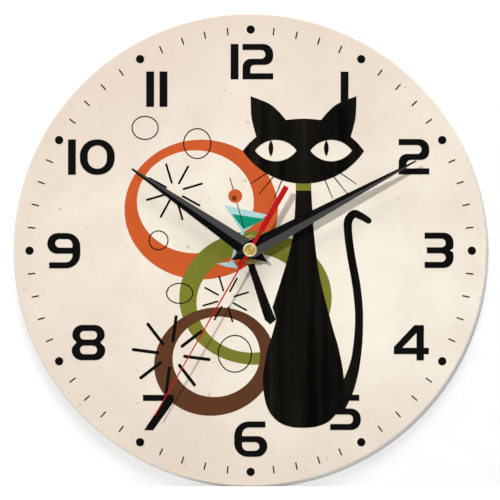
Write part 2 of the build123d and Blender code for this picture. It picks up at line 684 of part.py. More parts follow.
HUB = 0.7
SMALL_RIM, LARGE_RIM = 5.0, 6.9
SMALL_HUB, LARGE_HUB = 1.9, 2.0
SMALL_SINK, LARGE_SINK = 0.2, 0.3
with BuildPart() as intermediate_wheel:
    gap = facing_gap(ROTOR_MESH[1], direction(INTERMEDIATE, ROTOR))
    wheel(ROTOR_MESH[1], ROTOR_MESH[2], INTERMEDIATE, gap, *INTERMEDIATE_WHEEL)
    web(SMALL_RIM, SMALL_HUB, INTERMEDIATE, INTERMEDIATE_WHEEL[0], SMALL_SINK)
    leaf = direction(INTERMEDIATE, CENTRE)
    pinion(INTERMEDIATE_MESH[0], INTERMEDIATE_MESH[2], INTERMEDIATE, leaf, *INTERMEDIATE_PINION)
    disc(HUB, INTERMEDIATE_PINION[1], BOSS_BACK - WHEEL_FLOAT, INTERMEDIATE)
    disc(HUB, SHOULDER, INTERMEDIATE_WHEEL[0], INTERMEDIATE)
    disc(PIVOT, BRIDGE[0], PIVOT_FRONT, INTERMEDIATE)
intermediate_wheel.part.label = "intermediate_wheel"
export_step(intermediate_wheel.part, "parts/intermediate_wheel.step")

with BuildPart() as second_wheel:
    gap = facing_gap(INTERMEDIATE_MESH[1], direction(CENTRE, INTERMEDIATE))
    wheel(INTERMEDIATE_MESH[1], INTERMEDIATE_MESH[2], CENTRE, gap, *SECOND_WHEEL)
    web(LARGE_RIM, LARGE_HUB, CENTRE, SECOND_WHEEL[0], LARGE_SINK)
    pinion(SECOND_MESH[0], SECOND_MESH[2], CENTRE, direction(CENTRE, THIRD), *SECOND_PINION)
    disc(ARBOR, SECOND_WHEEL[0], SECOND_PINION[1], mode=Mode.SUBTRACT)
second_wheel.part.label = "second_wheel"
export_step(second_wheel.part, "parts/second_wheel.step")

with BuildPart() as second_arbor:
    disc(ARBOR, SHOULDER, SECOND_FRONT)
    disc(PIVOT, BRIDGE[0], SHOULDER)
second_arbor.part.label = "second_arbor"
export_step(second_arbor.part, "parts/second_arbor.step")

with BuildPart() as third_wheel:
    gap = facing_gap(SECOND_MESH[1], direction(THIRD, CENTRE))
    wheel(SECOND_MESH[1], SECOND_MESH[2], THIRD, gap, *THIRD_WHEEL)
    web(LARGE_RIM, LARGE_HUB, THIRD, THIRD_WHEEL[0], LARGE_SINK)
    pinion(THIRD_MESH[0], THIRD_MESH[2], THIRD, direction(THIRD, CENTRE), *THIRD_PINION)
    disc(HUB, SHOULDER, THIRD_WHEEL[0], THIRD)
    disc(PIVOT, BRIDGE[0], PIVOT_FRONT, THIRD)
third_wheel.part.label = "third_wheel"
export_step(third_wheel.part, "parts/third_wheel.step")

CLUTCH = 1.2
with BuildPart() as centre_wheel:
    gap = facing_gap(THIRD_MESH[1], direction(CENTRE, THIRD))
    wheel(THIRD_MESH[1], THIRD_MESH[2], CENTRE, gap, *CENTRE_WHEEL)
    disc(CLUTCH, *CENTRE_WHEEL, mode=Mode.SUBTRACT)
centre_wheel.part.label = "centre_wheel"
export_step(centre_wheel.part, "parts/centre_wheel.step")

with BuildPart() as minute_pipe:
    # The centre wheel grips this pipe by friction, which slips when the hands are set.
    pinion(CANNON_MESH[0], CANNON_MESH[2], CENTRE, direction(CENTRE, MOTION), *CANNON_PINION)
    disc(CLUTCH, *CENTRE_WHEEL)
    disc(PIPE, CANNON_PINION[1], MINUTE_FRONT)
    disc(PIPE_BORE, CENTRE_WHEEL[0], MINUTE_FRONT, mode=Mode.SUBTRACT)
minute_pipe.part.label = "minute_pipe"
export_step(minute_pipe.part, "parts/minute_pipe.step")

MOTION_GAP = facing_gap(CANNON_MESH[1], direction(MOTION, CENTRE))
with BuildPart() as motion_wheel:
    wheel(CANNON_MESH[1], CANNON_MESH[2], MOTION, MOTION_GAP, *MOTION_WHEEL)
    pinion(MOTION_MESH[0], MOTION_MESH[2], MOTION, direction(MOTION, CENTRE), *MOTION_PINION)
    disc(POST_BORE, MOTION_WHEEL[0], MOTION_PINION[1], MOTION, mode=Mode.SUBTRACT)
motion_wheel.part.label = "motion_wheel"
export_step(motion_wheel.part, "parts/motion_wheel.step")

with BuildPart() as hour_wheel:
    gap = facing_gap(MOTION_MESH[1], direction(CENTRE, MOTION))
    wheel(MOTION_MESH[1], MOTION_MESH[2], CENTRE, gap, *HOUR_WHEEL)
    disc(HOUR_TUBE, HOUR_WHEEL[1], HOUR_FRONT)
    disc(HOUR_BORE, HOUR_WHEEL[0], HOUR_FRONT, mode=Mode.SUBTRACT)
hour_wheel.part.label = "hour_wheel"
export_step(hour_wheel.part, "parts/hour_wheel.step")

THUMB = (0.2, 1.5)
THUMB_RADIUS = 5.5
GRIPS = 24
GRIP_RADIUS = 0.45
GRIP_CIRCLE = THUMB_RADIUS + 0.25
COIN_SLOT_X = around(KNOB[0], 3.5)
COIN_SLOT_Z = around(KNOB[1], 0.5)
COIN_SLOT_FRONT = 0.8
with BuildPart() as setting_knob:
    # The motion wheel's tooth nearest the knob is this far round from the line between them,
    # and the knob's gap opposite it is as far round the other way, on its own pitch.
    pitch = 360 / KNOB_MESH[1]
    tooth_offset = (MOTION_GAP - direction(MOTION, KNOB)) % pitch
    knob_gap = direction(KNOB, MOTION) - tooth_offset * KNOB_MESH[1] / KNOB_MESH[0]
    leaf = facing_gap(KNOB_MESH[0], knob_gap)
    pinion(KNOB_MESH[0], KNOB_MESH[2], KNOB, leaf, *MOTION_WHEEL)
    disc(STEM, THUMB[1], MOTION_WHEEL[0], KNOB)
    disc(KNOB_PIN, MOTION_WHEEL[1], KNOB_PIN_FRONT, KNOB)
    # The thumb disc, with a ring of finger notches and a coin slot.
    disc(THUMB_RADIUS, *THUMB, KNOB)
    with BuildSketch(at_depth(THUMB[0])):
        with Locations(KNOB):
            with PolarLocations(GRIP_CIRCLE, GRIPS):
                Circle(GRIP_RADIUS)
    extrude(amount=THUMB[1] - THUMB[0], mode=Mode.SUBTRACT)
    block(COIN_SLOT_X, COIN_SLOT_Z, THUMB[0], COIN_SLOT_FRONT, mode=Mode.SUBTRACT)
setting_knob.part.label = "setting_knob"
export_step(setting_knob.part, "parts/setting_knob.step")

# ======== the cell and its contacts ==========================================================
CONTACT_GAP = 0.05
PLATE_X = (CELL_NUB + CONTACT_GAP, CELL_NUB + CONTACT_GAP + CONTACT_SHEET)
PLATE_Z = (CELL_Z - 4.0, CELL_Z + 5.0)
PLATE_BACK = 3.0
TAB_X = 22.0
TAB_Z = (-8.6, -7.0)
SLOT_GAP = 0.1
with BuildPart() as positive_contact:
    # A plate in front of the nub, a riser through the wall's slot, and a tab on the circuit board.
    block(PLATE_X, PLATE_Z, PLATE_BACK, CIRCUIT[0])
    block(PLATE_X, (PLATE_Z[1], TAB_Z[1]), CONTACT_BACK + SLOT_GAP, CIRCUIT[0])
    block((TAB_X, PLATE_X[1]), TAB_Z, CIRCUIT[0] - CONTACT_SHEET, CIRCUIT[0])
positive_contact.part.label = "positive_contact"
export_step(positive_contact.part, "parts/positive_contact.step")

LEAF_X = (-26.6, CELL_FOOT - CONTACT_GAP - CONTACT_SHEET / 2, -26.35)
LEAF_HALF = 5.0
LEAF_BACK = 4.0
STRIP_FRONT = 14.0
STRIP_Z = (-9.9, -9.9 + CONTACT_SHEET)
STRIP_END = 21.0
FOOT_X = 19.0
FOOT_Z = -7.8
RISER_LOW = CELL_Z + 4.5
with BuildPart() as negative_contact:
    # A leaf that bows out to the cell's foot.
    with BuildSketch(at_depth(LEAF_BACK)):
        with BuildLine():
            Polyline((LEAF_X[0], CELL_Z - LEAF_HALF), (LEAF_X[1], CELL_Z), (LEAF_X[2], CELL_Z + LEAF_HALF))
        trace(line_width=CONTACT_SHEET)
    extrude(amount=CIRCUIT[0] - LEAF_BACK)
    # Its strip goes through the wall's slot and along the wall to the circuit board.
    riser_x = around(LEAF_X[2], CONTACT_SHEET / 2)
    block(riser_x, (RISER_LOW, STRIP_Z[1]), STRIP_BACK + SLOT_GAP, STRIP_FRONT)
    block((riser_x[0], STRIP_END), STRIP_Z, STRIP_BACK + SLOT_GAP, STRIP_FRONT)
    block((FOOT_X, STRIP_END), (STRIP_Z[0], FOOT_Z), CIRCUIT[0] - CONTACT_SHEET, CIRCUIT[0])
negative_contact.part.label = "negative_contact"
export_step(negative_contact.part, "parts/negative_contact.step")

SLEEVE_THICKNESS = 0.15
CAN_RADIUS = CELL_RADIUS - SLEEVE_THICKNESS
SEAL_RADIUS = 6.5
SEAL_THICKNESS = 0.3
FOOT_RADIUS = 5.6
FOOT_ROUND, FOOT_EDGE = 0.5, 0.3
CAN_END = CELL_FOOT + 0.7
CAN_SHOULDER = CELL_NUB - 1.5
SHOULDER_EDGE, SHOULDER_ROUND = 0.4, 0.5
NUB_ROOT, NUB_SIDE, NUB_FACE = 2.9, 2.75, 2.45
NUB_EDGE = 0.3
SLEEVE_END = CAN_SHOULDER - 0.6
cell_plane = Plane(origin=(0, -CELL_DEPTH, CELL_Z), x_dir=(1, 0, 0), z_dir=(0, -1, 0))
cell_axis = Axis((0, -CELL_DEPTH, CELL_Z), (1, 0, 0))

with BuildPart() as cell_can:
    with BuildSketch(cell_plane):
        with BuildLine():
            Polyline(
                (CAN_END, 0),
                (CAN_END, CAN_RADIUS),
                (CAN_SHOULDER - SHOULDER_EDGE, CAN_RADIUS),
                (CAN_SHOULDER, CAN_RADIUS - SHOULDER_ROUND),
                (CAN_SHOULDER, NUB_ROOT),
                (CELL_NUB - NUB_EDGE, NUB_SIDE),
                (CELL_NUB, NUB_FACE),
                (CELL_NUB, 0),
                close=True,
            )
        make_face()
    revolve(axis=cell_axis)
cell_can.part.label = "cell_can"
export_step(cell_can.part, "parts/cell_can.step")

with BuildPart() as cell_foot:
    with BuildSketch(cell_plane):
        with BuildLine():
            Polyline(
                (CAN_END, 0),
                (CAN_END, FOOT_RADIUS),
                (CELL_FOOT + FOOT_EDGE, FOOT_RADIUS),
                (CELL_FOOT, FOOT_RADIUS - FOOT_ROUND),
                (CELL_FOOT, 0),
                close=True,
            )
        make_face()
    revolve(axis=cell_axis)
cell_foot.part.label = "cell_foot"
export_step(cell_foot.part, "parts/cell_foot.step")

with BuildPart() as cell_seal:
    with BuildSketch(Plane.YZ.offset(CAN_END - SEAL_THICKNESS)):
        with Locations((-CELL_DEPTH, CELL_Z)):
            Circle(SEAL_RADIUS)
            Circle(FOOT_RADIUS, mode=Mode.SUBTRACT)
    extrude(amount=SEAL_THICKNESS)
cell_seal.part.label = "cell_seal"
export_step(cell_seal.part, "parts/cell_seal.step")

with BuildPart() as cell_sleeve:
    with BuildSketch(Plane.YZ.offset(CAN_END)):
        with Locations((-CELL_DEPTH, CELL_Z)):
            Circle(CELL_RADIUS)
            Circle(CAN_RADIUS, mode=Mode.SUBTRACT)
    extrude(amount=SLEEVE_END - CAN_END)
cell_sleeve.part.label = "cell_sleeve"
export_step(cell_sleeve.part, "parts/cell_sleeve.step")
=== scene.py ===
"""Looks of the round wall clock: the printed dial, the hands' enamel, the movement's materials.

Metres, in the CAD frame: +Z up, the dial faces -Y. The print is drawn in millimetres on the
dial's face, x to the right and z up from the hands' axis, and scaled once, in stand_on_dial().
"""
import math

import bmesh
import bpy
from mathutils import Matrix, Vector


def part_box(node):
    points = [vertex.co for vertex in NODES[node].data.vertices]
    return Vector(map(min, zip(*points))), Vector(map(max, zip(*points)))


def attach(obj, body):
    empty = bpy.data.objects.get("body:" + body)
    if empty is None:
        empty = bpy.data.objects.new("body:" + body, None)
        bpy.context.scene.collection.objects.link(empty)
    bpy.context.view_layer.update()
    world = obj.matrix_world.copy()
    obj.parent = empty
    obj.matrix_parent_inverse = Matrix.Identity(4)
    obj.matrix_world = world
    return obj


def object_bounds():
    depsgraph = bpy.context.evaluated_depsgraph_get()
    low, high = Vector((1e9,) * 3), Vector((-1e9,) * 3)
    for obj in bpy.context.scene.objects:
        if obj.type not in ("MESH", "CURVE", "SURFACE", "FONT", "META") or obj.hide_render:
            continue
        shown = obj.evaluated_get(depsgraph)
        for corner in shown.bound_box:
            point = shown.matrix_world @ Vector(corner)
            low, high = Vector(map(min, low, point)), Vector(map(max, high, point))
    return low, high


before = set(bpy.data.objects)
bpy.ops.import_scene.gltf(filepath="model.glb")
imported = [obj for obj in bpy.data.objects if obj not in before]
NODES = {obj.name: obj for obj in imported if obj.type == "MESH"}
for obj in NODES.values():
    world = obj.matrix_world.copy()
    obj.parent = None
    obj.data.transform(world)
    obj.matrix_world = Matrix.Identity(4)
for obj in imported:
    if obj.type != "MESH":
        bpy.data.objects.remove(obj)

MM = 0.001
CAD_LOW, CAD_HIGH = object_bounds()
BOARD_LOW, BOARD_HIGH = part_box("dial_board")
FACE_Y = BOARD_LOW.y
DIAL_RADIUS = BOARD_HIGH.x
BOARD_BODY = "movement"

# ---- the print's colours, as sRGB levels of 255 ---------------------------------------------
CREAM = (246, 239, 223)
CREAM_WARM = (231, 217, 202)
CREAM_EDGE = (227, 211, 196)
INK_BLACK = (12, 12, 13)
INK_CAT = (3, 3, 2)
INK_ORANGE = (202, 90, 43)
INK_OLIVE = (121, 123, 44)
INK_BROWN = (93, 57, 36)
INK_TEAL = (16, 146, 116)
INK_PALE = (170, 211, 209)
INK_CORE = (110, 52, 16)

# ---- the paper, in metres: it is palest in a flat oval, and gives way to board at its depth --
PALE_CENTRE = (0.050, -0.010)
PALE_REACH = 0.220
PALE_SQUASH = 1.6
PAPER_DEPTH = (0.15 * MM, 0.35 * MM)

# ---- the print: its sheets in millimetres, and its gloss ------------------------------------
INK_STEP = 0.012
INK_SUNK = 0.02
HOLE_CLEAR = 5.0
INK_GLOSS = 0.03
# Layers are counted up from the paper, and a higher one lies over a lower one. The three rings
# take the first layer and the two above it.
LAYER = {
    "ring": 1, "stem": 3, "bowl": 4, "circle": 4, "drink": 5, "burst": 5, "mark": 6, "stick": 6,
    "limb": 6, "ball": 7, "cat": 7, "core": 8, "pupil": 8, "number": 9,
}

# ---- the stage, in metres, and how strongly its paper glows and reflects --------------------
STAGE_HALF = 1.5
FLOOR_FRONT = 0.25
FLOOR_DROP = 0.1 * MM
FLOOR_GLOW = 0.33
BACKDROP_GLOW = 0.23
BACKDROP_DEPTH = 3.0 * MM
BACKDROP_GAP = 0.3 * MM
BOUNCE = 0.25

# ---- the light: the room, dark to one angle off the dial's axis and lit from the other ------
ROOM_LIGHT = 0.31
ROOM_DARK = 0.02
DARK_ANGLE = 20
LIT_ANGLE = 42
# A lamp's place, width and height, in metres, and its watts; each is aimed at the hands' axis.
KEY_LAMP = ((-1.68, -3.52, 1.52), (0.28, 0.28), 104.0)
PANEL_LAMP = ((0.58, -2.75, 0.0), (0.5, 2.4), 5.6)
OVERHEAD_LAMP = ((0.0, -0.9, 2.6), (1.6, 0.9), 64.0)

# ---- the camera, in metres, with its sensor in millimetres ----------------------------------
VIEW_DISTANCE = 3.0
FRAME_WIDTH = 0.2645
SENSOR_WIDTH = 36.0
FAR_CLIP = 100.0


def linear(colour):
    """An sRGB colour of 0 to 255 as the linear colour that a shader takes."""
    def channel(level):
        value = level / 255
        return value / 12.92 if value <= 0.04045 else ((value + 0.055) / 1.055) ** 2.4
    return (*[channel(level) for level in colour], 1.0)


def shaded(base, factor, lift=0.0):
    """A linear colour made darker or lighter, and no brighter than white."""
    return (*[min(1.0, channel * factor + lift) for channel in base[:3]], 1.0)


# ======== shader building ====================================================================
def map_range(tree, value, low, high, out_low, out_high):
    """Carries a value from one range over to another, in any node tree."""
    node = tree.nodes.new("ShaderNodeMapRange")
    limits = {"From Min": low, "From Max": high, "To Min": out_low, "To Max": out_high}
    for socket, number in limits.items():
        node.inputs[socket].default_value = number
    tree.links.new(value, node.inputs["Value"])
    return node.outputs["Result"]


class Shader:
    """A material's node tree, with short names for the nodes that are used again and again."""

    def __init__(self, name):
        self.material = bpy.data.materials.new(name)
        self.material.use_nodes = True
        self.tree = self.material.node_tree
        self.surface = next(node for node in self.tree.nodes if node.type == "BSDF_PRINCIPLED")
        self.place = self.new("ShaderNodeTexCoord").outputs["Object"]

    def new(self, kind, **settings):
        node = self.tree.nodes.new(kind)
        for key, value in settings.items():
            setattr(node, key, value)
        return node

    def link(self, source, target):
        self.tree.links.new(source, target)

    def feed(self, value, target):
        """Links a socket to the target, or sets a constant on it."""
        if isinstance(value, bpy.types.NodeSocket):
            self.link(value, target)
        else:
            target.default_value = value

    def stretched(self, scale, turn=(0.0, 0.0, 0.0)):
        """Object coordinates scaled along each axis, for grain and brushing."""
        mapping = self.new("ShaderNodeMapping")
        mapping.inputs["Scale"].default_value = scale
        mapping.inputs["Rotation"].default_value = turn
        self.link(self.place, mapping.inputs["Vector"])
        return mapping.outputs["Vector"]

    def noise(self, scale, detail=4.0, rough=0.55, vector=None, distortion=0.0):
        """Fractal noise of 0 to 1, in object coordinates unless others are given."""
        node = self.new("ShaderNodeTexNoise")
        node.inputs["Scale"].default_value = scale
        node.inputs["Detail"].default_value = detail
        node.inputs["Roughness"].default_value = rough
        node.inputs["Distortion"].default_value = distortion
        self.link(self.place if vector is None else vector, node.inputs["Vector"])
        return node.outputs["Fac"]

    def ramp(self, value, stops):
        """A colour ramp; stops are (position, linear colour)."""
        node = self.new("ShaderNodeValToRGB")
        while len(node.color_ramp.elements) < len(stops):
            node.color_ramp.elements.new(0.5)
        for element, (position, colour) in zip(node.color_ramp.elements, stops):
            element.position = position
            element.color = colour
        self.link(value, node.inputs["Fac"])
        return node.outputs["Color"]

    def between(self, value, low, high, out_low=0.0, out_high=1.0):
        return map_range(self.tree, value, low, high, out_low, out_high)

    def mix(self, factor, first, second):
        """Mixes two colours; each of the three may be a socket or a constant."""
        node = self.new("ShaderNodeMix", data_type="RGBA", blend_type="MIX")
        # A colour mix takes its factor at input 0 and its colours at 6 and 7, and gives output 2.
        for number, value in ((0, factor), (6, first), (7, second)):
            self.feed(value, node.inputs[number])
        return node.outputs[2]

    def math(self, operation, first, second):
        """Joins two numbers; each may be a socket or a constant."""
        node = self.new("ShaderNodeMath", operation=operation)
        for socket, value in zip(node.inputs, (first, second)):
            self.feed(value, socket)
        return node.outputs[0]

    def choose(self, factor, first, second):
        """Mixes two whole shaders."""
        node = self.new("ShaderNodeMixShader")
        for socket, value in zip(node.inputs, (factor, first, second)):
            self.link(value, socket)
        return node.outputs[0]

    def radius(self, centre=(0.0, 0.0), squash=1.0):
        """Distance from an axis along Y, in metres; heights count squash times."""
        shift = self.new("ShaderNodeVectorMath", operation="SUBTRACT")
        shift.inputs[1].default_value = (centre[0], 0.0, centre[1])
        self.link(self.place, shift.inputs[0])
        flat = self.new("ShaderNodeVectorMath", operation="MULTIPLY")
        flat.inputs[1].default_value = (1.0, 0.0, squash)
        self.link(shift.outputs[0], flat.inputs[0])
        length = self.new("ShaderNodeVectorMath", operation="LENGTH")
        self.link(flat.outputs[0], length.inputs[0])
        return length.outputs["Value"]

    def axis(self, name):
        """One of the object coordinates, in metres."""
        split = self.new("ShaderNodeSeparateXYZ")
        self.link(self.place, split.inputs[0])
        return split.outputs[name]

    def colour(self, value):
        self.put("Base Color", value)

    def put(self, socket, value):
        self.feed(value, self.surface.inputs[socket])

    def bump(self, height, strength, distance):
        """Adds relief, over any relief that is there already."""
        node = self.new("ShaderNodeBump")
        node.inputs["Strength"].default_value = strength
        node.inputs["Distance"].default_value = distance
        self.link(height, node.inputs["Height"])
        previous = self.surface.inputs["Normal"]
        if previous.is_linked:
            self.link(previous.links[0].from_socket, node.inputs["Normal"])
        self.link(node.outputs["Normal"], previous)


# ======== materials ==========================================================================
def dial_print():
    """Aged cream paper on the front, warmer and pinker to the rim; a white board behind it."""
    blotch_tan, fibre_tan, fleck_brown = (226, 206, 184), (214, 196, 172), (150, 128, 104)
    board_dark, board_pale = (214, 207, 195), (238, 233, 224)
    look = Shader("dial_print")

    radial = look.between(look.radius(PALE_CENTRE, PALE_SQUASH), 0.0, PALE_REACH)
    cloud = look.noise(14.0, detail=5.0, rough=0.6)
    spread = look.math("ADD", radial, look.between(cloud, 0.3, 0.7, -0.22, 0.22))
    tones = [(0.22, linear(CREAM)), (0.72, linear(CREAM_WARM)), (1.0, linear(CREAM_EDGE))]
    paper = look.ramp(spread, tones)
    blotch = look.between(look.noise(55.0, detail=6.0, rough=0.62), 0.42, 0.72)
    paper = look.mix(look.math("MULTIPLY", blotch, 0.20), paper, linear(blotch_tan))
    fibre = look.noise(900.0, detail=3.0, vector=look.stretched((1.0, 1.0, 0.35)))
    paper = look.mix(look.between(fibre, 0.35, 0.75, 0.0, 0.09), paper, linear(fibre_tan))
    fleck = look.between(look.noise(260.0, detail=2.0, rough=0.4), 0.735, 0.76)
    paper = look.mix(look.math("MULTIPLY", fleck, 0.32), paper, linear(fleck_brown))

    board_grain = look.noise(420.0, detail=5.0, rough=0.7)
    board = look.ramp(board_grain, [(0.3, linear(board_dark)), (0.7, linear(board_pale))])
    front = look.between(look.axis("Y"), FACE_Y + PAPER_DEPTH[1], FACE_Y + PAPER_DEPTH[0])
    look.colour(look.mix(front, board, paper))
    look.put("Roughness", look.between(cloud, 0.3, 0.7, 0.50, 0.62))
    look.put("Specular IOR Level", INK_GLOSS)
    look.bump(fibre, 0.12, 0.05 * MM)
    return look.material


def ink(name, colour, mottle=0.10):
    """Printed ink: a flat colour that the paper's fibre breaks up very slightly."""
    look = Shader("ink_" + name)
    darker, lighter = shaded(linear(colour), 1 - mottle), shaded(linear(colour), 1 + mottle)
    patch = look.noise(70.0, detail=5.0)
    grain = look.noise(1100.0, detail=2.0)
    both = look.math(
        "ADD", look.between(patch, 0.3, 0.7, 0.0, 0.6), look.between(grain, 0.3, 0.7, 0.0, 0.4)
    )
    look.colour(look.mix(both, darker, lighter))
    look.put("Roughness", look.between(grain, 0.3, 0.7, 0.46, 0.60))
    look.put("Specular IOR Level", INK_GLOSS)
    look.bump(grain, 0.08, 0.03 * MM)
    return look.material


def cat_ink():
    """The cat's black, with faint upright streaks as if brushed on."""
    streak_brown, streak_pale = (22, 20, 15), (33, 30, 22)
    look = Shader("ink_cat")
    wide = look.noise(95.0, detail=3.0, vector=look.stretched((1.0, 1.0, 0.035)))
    fine = look.noise(420.0, detail=3.0, vector=look.stretched((1.0, 1.0, 0.03)))
    streak = look.math("ADD", look.between(wide, 0.42, 0.72), look.between(fine, 0.45, 0.8, 0.0, 0.55))
    stops = [(0.0, linear(INK_CAT)), (0.7, linear(streak_brown)), (1.0, linear(streak_pale))]
    look.colour(look.ramp(streak, stops))
    look.put("Roughness", look.between(fine, 0.3, 0.7, 0.48, 0.60))
    look.put("Specular IOR Level", INK_GLOSS)
    return look.material


def enamel(name, colour, roughness, gloss=0.5):
    """Sprayed enamel on thin sheet: smooth, a little dusty, with a very fine orange-peel."""
    look = Shader(name)
    base = linear(colour)
    dust = look.noise(320.0, detail=5.0, rough=0.65)
    look.colour(look.mix(look.between(dust, 0.45, 0.75, 0.0, 0.3), base, shaded(base, 1.15, 0.010)))
    look.put("Roughness", look.between(dust, 0.3, 0.7, roughness - 0.02, roughness + 0.03))
    look.put("Specular IOR Level", gloss)
    look.bump(look.noise(1500.0, detail=2.0), 0.06, 0.02 * MM)
    return look.material


def metal(name, colour, roughness, grain=(1.0, 1.0, 1.0), scale=900.0, tarnish=None):
    """Bare or plated metal, brushed along the axis with the smallest grain figure."""
    look = Shader(name)
    base = linear(colour)
    brushing = look.noise(scale, detail=4.0, rough=0.65, vector=look.stretched(grain))
    surface = look.mix(look.between(brushing, 0.25, 0.7), shaded(base, 0.80), base)
    if tarnish:
        stain = look.between(look.noise(160.0, detail=6.0, rough=0.7), 0.48, 0.78, 0.0, 0.55)
        surface = look.mix(stain, surface, linear(tarnish))
    look.colour(surface)
    look.put("Metallic", 1.0)
    look.put("Roughness", look.between(brushing, 0.2, 0.8, roughness - 0.06, roughness + 0.10))
    look.bump(brushing, 0.15, 0.02 * MM)
    return look.material


def rubbed_edges(look, body, wear_and_highlight):
    """A paler colour in patches along the body's sharp edges, part rubbed wear and part painted edge
    highlight.
    """
    edge_width = 0.35 * MM
    soft = look.new("ShaderNodeBevel", samples=4)
    soft.inputs["Radius"].default_value = edge_width
    hard = look.new("ShaderNodeNewGeometry")
    agreement = look.new("ShaderNodeVectorMath", operation="DOT_PRODUCT")
    look.link(soft.outputs["Normal"], agreement.inputs[0])
    look.link(hard.outputs["Normal"], agreement.inputs[1])
    edge = look.between(agreement.outputs["Value"], 0.99, 0.80)
    patches = look.between(look.noise(260.0, detail=5.0), 0.35, 0.65)
    wear_and_highlight_mask = look.math("MULTIPLY", edge, patches)
    # The paler edge colour is partly rubbed wear and partly a painted edge highlight.
    return look.mix(look.math("MULTIPLY", wear_and_highlight_mask, 0.65), body, linear(wear_and_highlight))


def plastic(name, colour, roughness, texture=0.0, wear_and_highlight=None, translucent=False):
    """Moulded plastic: flow shading, a fine spark texture, and edges a little lighter, partly from wear
    and partly as a painted highlight.
    """
    look = Shader(name)
    base = linear(colour)
    flow = look.noise(45.0, detail=4.0, distortion=0.6)
    body = look.mix(look.between(flow, 0.3, 0.75, 0.0, 0.35), base, shaded(base, 1.35, 0.02))
    if wear_and_highlight:
        body = rubbed_edges(look, body, wear_and_highlight)
    look.colour(body)
    grit = look.noise(2600.0, detail=3.0, rough=0.6)
    look.put("Roughness", look.between(grit, 0.3, 0.7, roughness - 0.05, roughness + 0.08))
    if texture:
        look.bump(grit, texture, 0.04 * MM)
    if translucent:
        look.put("Subsurface Weight", 0.25)
        look.put("Subsurface Scale", 0.8 * MM)
    return look.material


def rubber():
    """Dusty black rubber."""
    dark, dusty = (26, 26, 26), (52, 51, 50)
    look = Shader("gasket_rubber")
    grain = look.noise(1200.0, detail=4.0)
    look.colour(look.ramp(grain, [(0.3, linear(dark)), (0.8, linear(dusty))]))
    look.put("Roughness", look.between(grain, 0.3, 0.7, 0.75, 0.92))
    look.bump(grain, 0.3, 0.05 * MM)
    return look.material


def winding():
    """Enamelled copper wire wound in close turns round the bobbin, each turn painted darker in its groove
    as shade and paler on its crown as a highlight.
    """
    groove_shade, crown_highlight = (96, 38, 16), (196, 104, 52)
    look = Shader("coil_copper")
    turns = look.new("ShaderNodeTexWave", wave_type="BANDS", bands_direction="X")
    turns.inputs["Scale"].default_value = 3400.0
    turns.inputs["Distortion"].default_value = 0.25
    look.link(look.place, turns.inputs["Vector"])
    # The dark band in each groove is painted shade, and the pale band on each crown is a painted
    # highlight.
    look.colour(look.ramp(turns.outputs["Fac"], [(0.1, linear(groove_shade)), (0.7, linear(crown_highlight))]))
    look.put("Metallic", 0.85)
    look.put("Roughness", 0.32)
    look.bump(turns.outputs["Fac"], 0.6, 0.05 * MM)
    return look.material


def laminate():
    """Phenolic circuit board with copper tracks under its varnish."""
    board_dark, board_pale, copper = (150, 104, 48), (168, 120, 58), (196, 132, 70)
    look = Shader("circuit_laminate")
    tracks = look.new("ShaderNodeTexBrick", offset=0.35, squash=1.0)
    tracks.inputs["Scale"].default_value = 300.0
    tracks.inputs["Mortar Size"].default_value = 0.012
    tracks.inputs["Color1"].default_value = linear(board_dark)
    tracks.inputs["Color2"].default_value = linear(board_pale)
    tracks.inputs["Mortar"].default_value = linear(copper)
    upright = look.stretched((1.0, 1.0, 1.0), turn=(math.radians(90), 0.0, 0.0))
    look.link(upright, tracks.inputs["Vector"])
    look.colour(tracks.outputs["Color"])
    look.put("Roughness", look.between(look.noise(400.0), 0.3, 0.7, 0.35, 0.5))
    return look.material


def cell_label():
    """A cell's printed sleeve: a dark body with a metallic copper-coloured band at the nub end."""
    sleeve_dark, sleeve_pale = (22, 27, 36), (38, 44, 56)
    copper, silver = (190, 120, 60), (200, 200, 200)
    band_share, line_gap, line_width, blur = 0.72, 0.6 * MM, 0.9 * MM, 0.1 * MM
    look = Shader("cell_sleeve_print")
    low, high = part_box("cell_sleeve")
    band_start = low.x + (high.x - low.x) * band_share
    line_end = band_start - line_gap
    line_start = line_end - line_width
    along = look.axis("X")
    band = look.between(along, band_start, band_start + blur)
    line = look.math("MULTIPLY", look.between(along, line_start - blur, line_start),
                     look.between(along, line_end, line_end - blur))
    mottle = look.between(look.noise(200.0), 0.3, 0.8, 0.0, 0.4)
    body = look.mix(mottle, linear(sleeve_dark), linear(sleeve_pale))
    body = look.mix(band, body, linear(copper))
    look.colour(look.mix(line, body, linear(silver)))
    look.put("Metallic", look.math("MULTIPLY", band, 0.8))
    look.put("Roughness", look.between(look.noise(500.0), 0.3, 0.7, 0.22, 0.34))
    look.put("Coat Weight", 0.4)
    return look.material


def cap_metal():
    """The centre cap: a gilt dished face, and a pale highlight painted round its rolled rim."""
    gilt_dark, gilt_bright, painted_rim_highlight = (204, 164, 70), (232, 198, 112), (246, 234, 198)
    dish_edge, rim_edge = 2.72 * MM, 2.80 * MM
    look = Shader("cap_gilt")
    rim = look.between(look.radius(), dish_edge, rim_edge)
    grain = look.noise(1200.0, detail=4.0)
    gilt = look.mix(look.between(grain, 0.3, 0.7), linear(gilt_dark), linear(gilt_bright))
    # The pale band round the rim is a painted highlight on the rim's bevel.
    look.colour(look.mix(rim, gilt, linear(painted_rim_highlight)))
    look.put("Metallic", 0.6)
    look.put("Roughness", look.between(grain, 0.3, 0.7, 0.26, 0.40))
    turned = look.new("ShaderNodeTangent", direction_type="RADIAL", axis="Y")
    look.link(turned.outputs[0], look.surface.inputs["Tangent"])
    look.put("Anisotropic", 0.6)
    look.bump(grain, 0.08, 0.02 * MM)
    return look.material


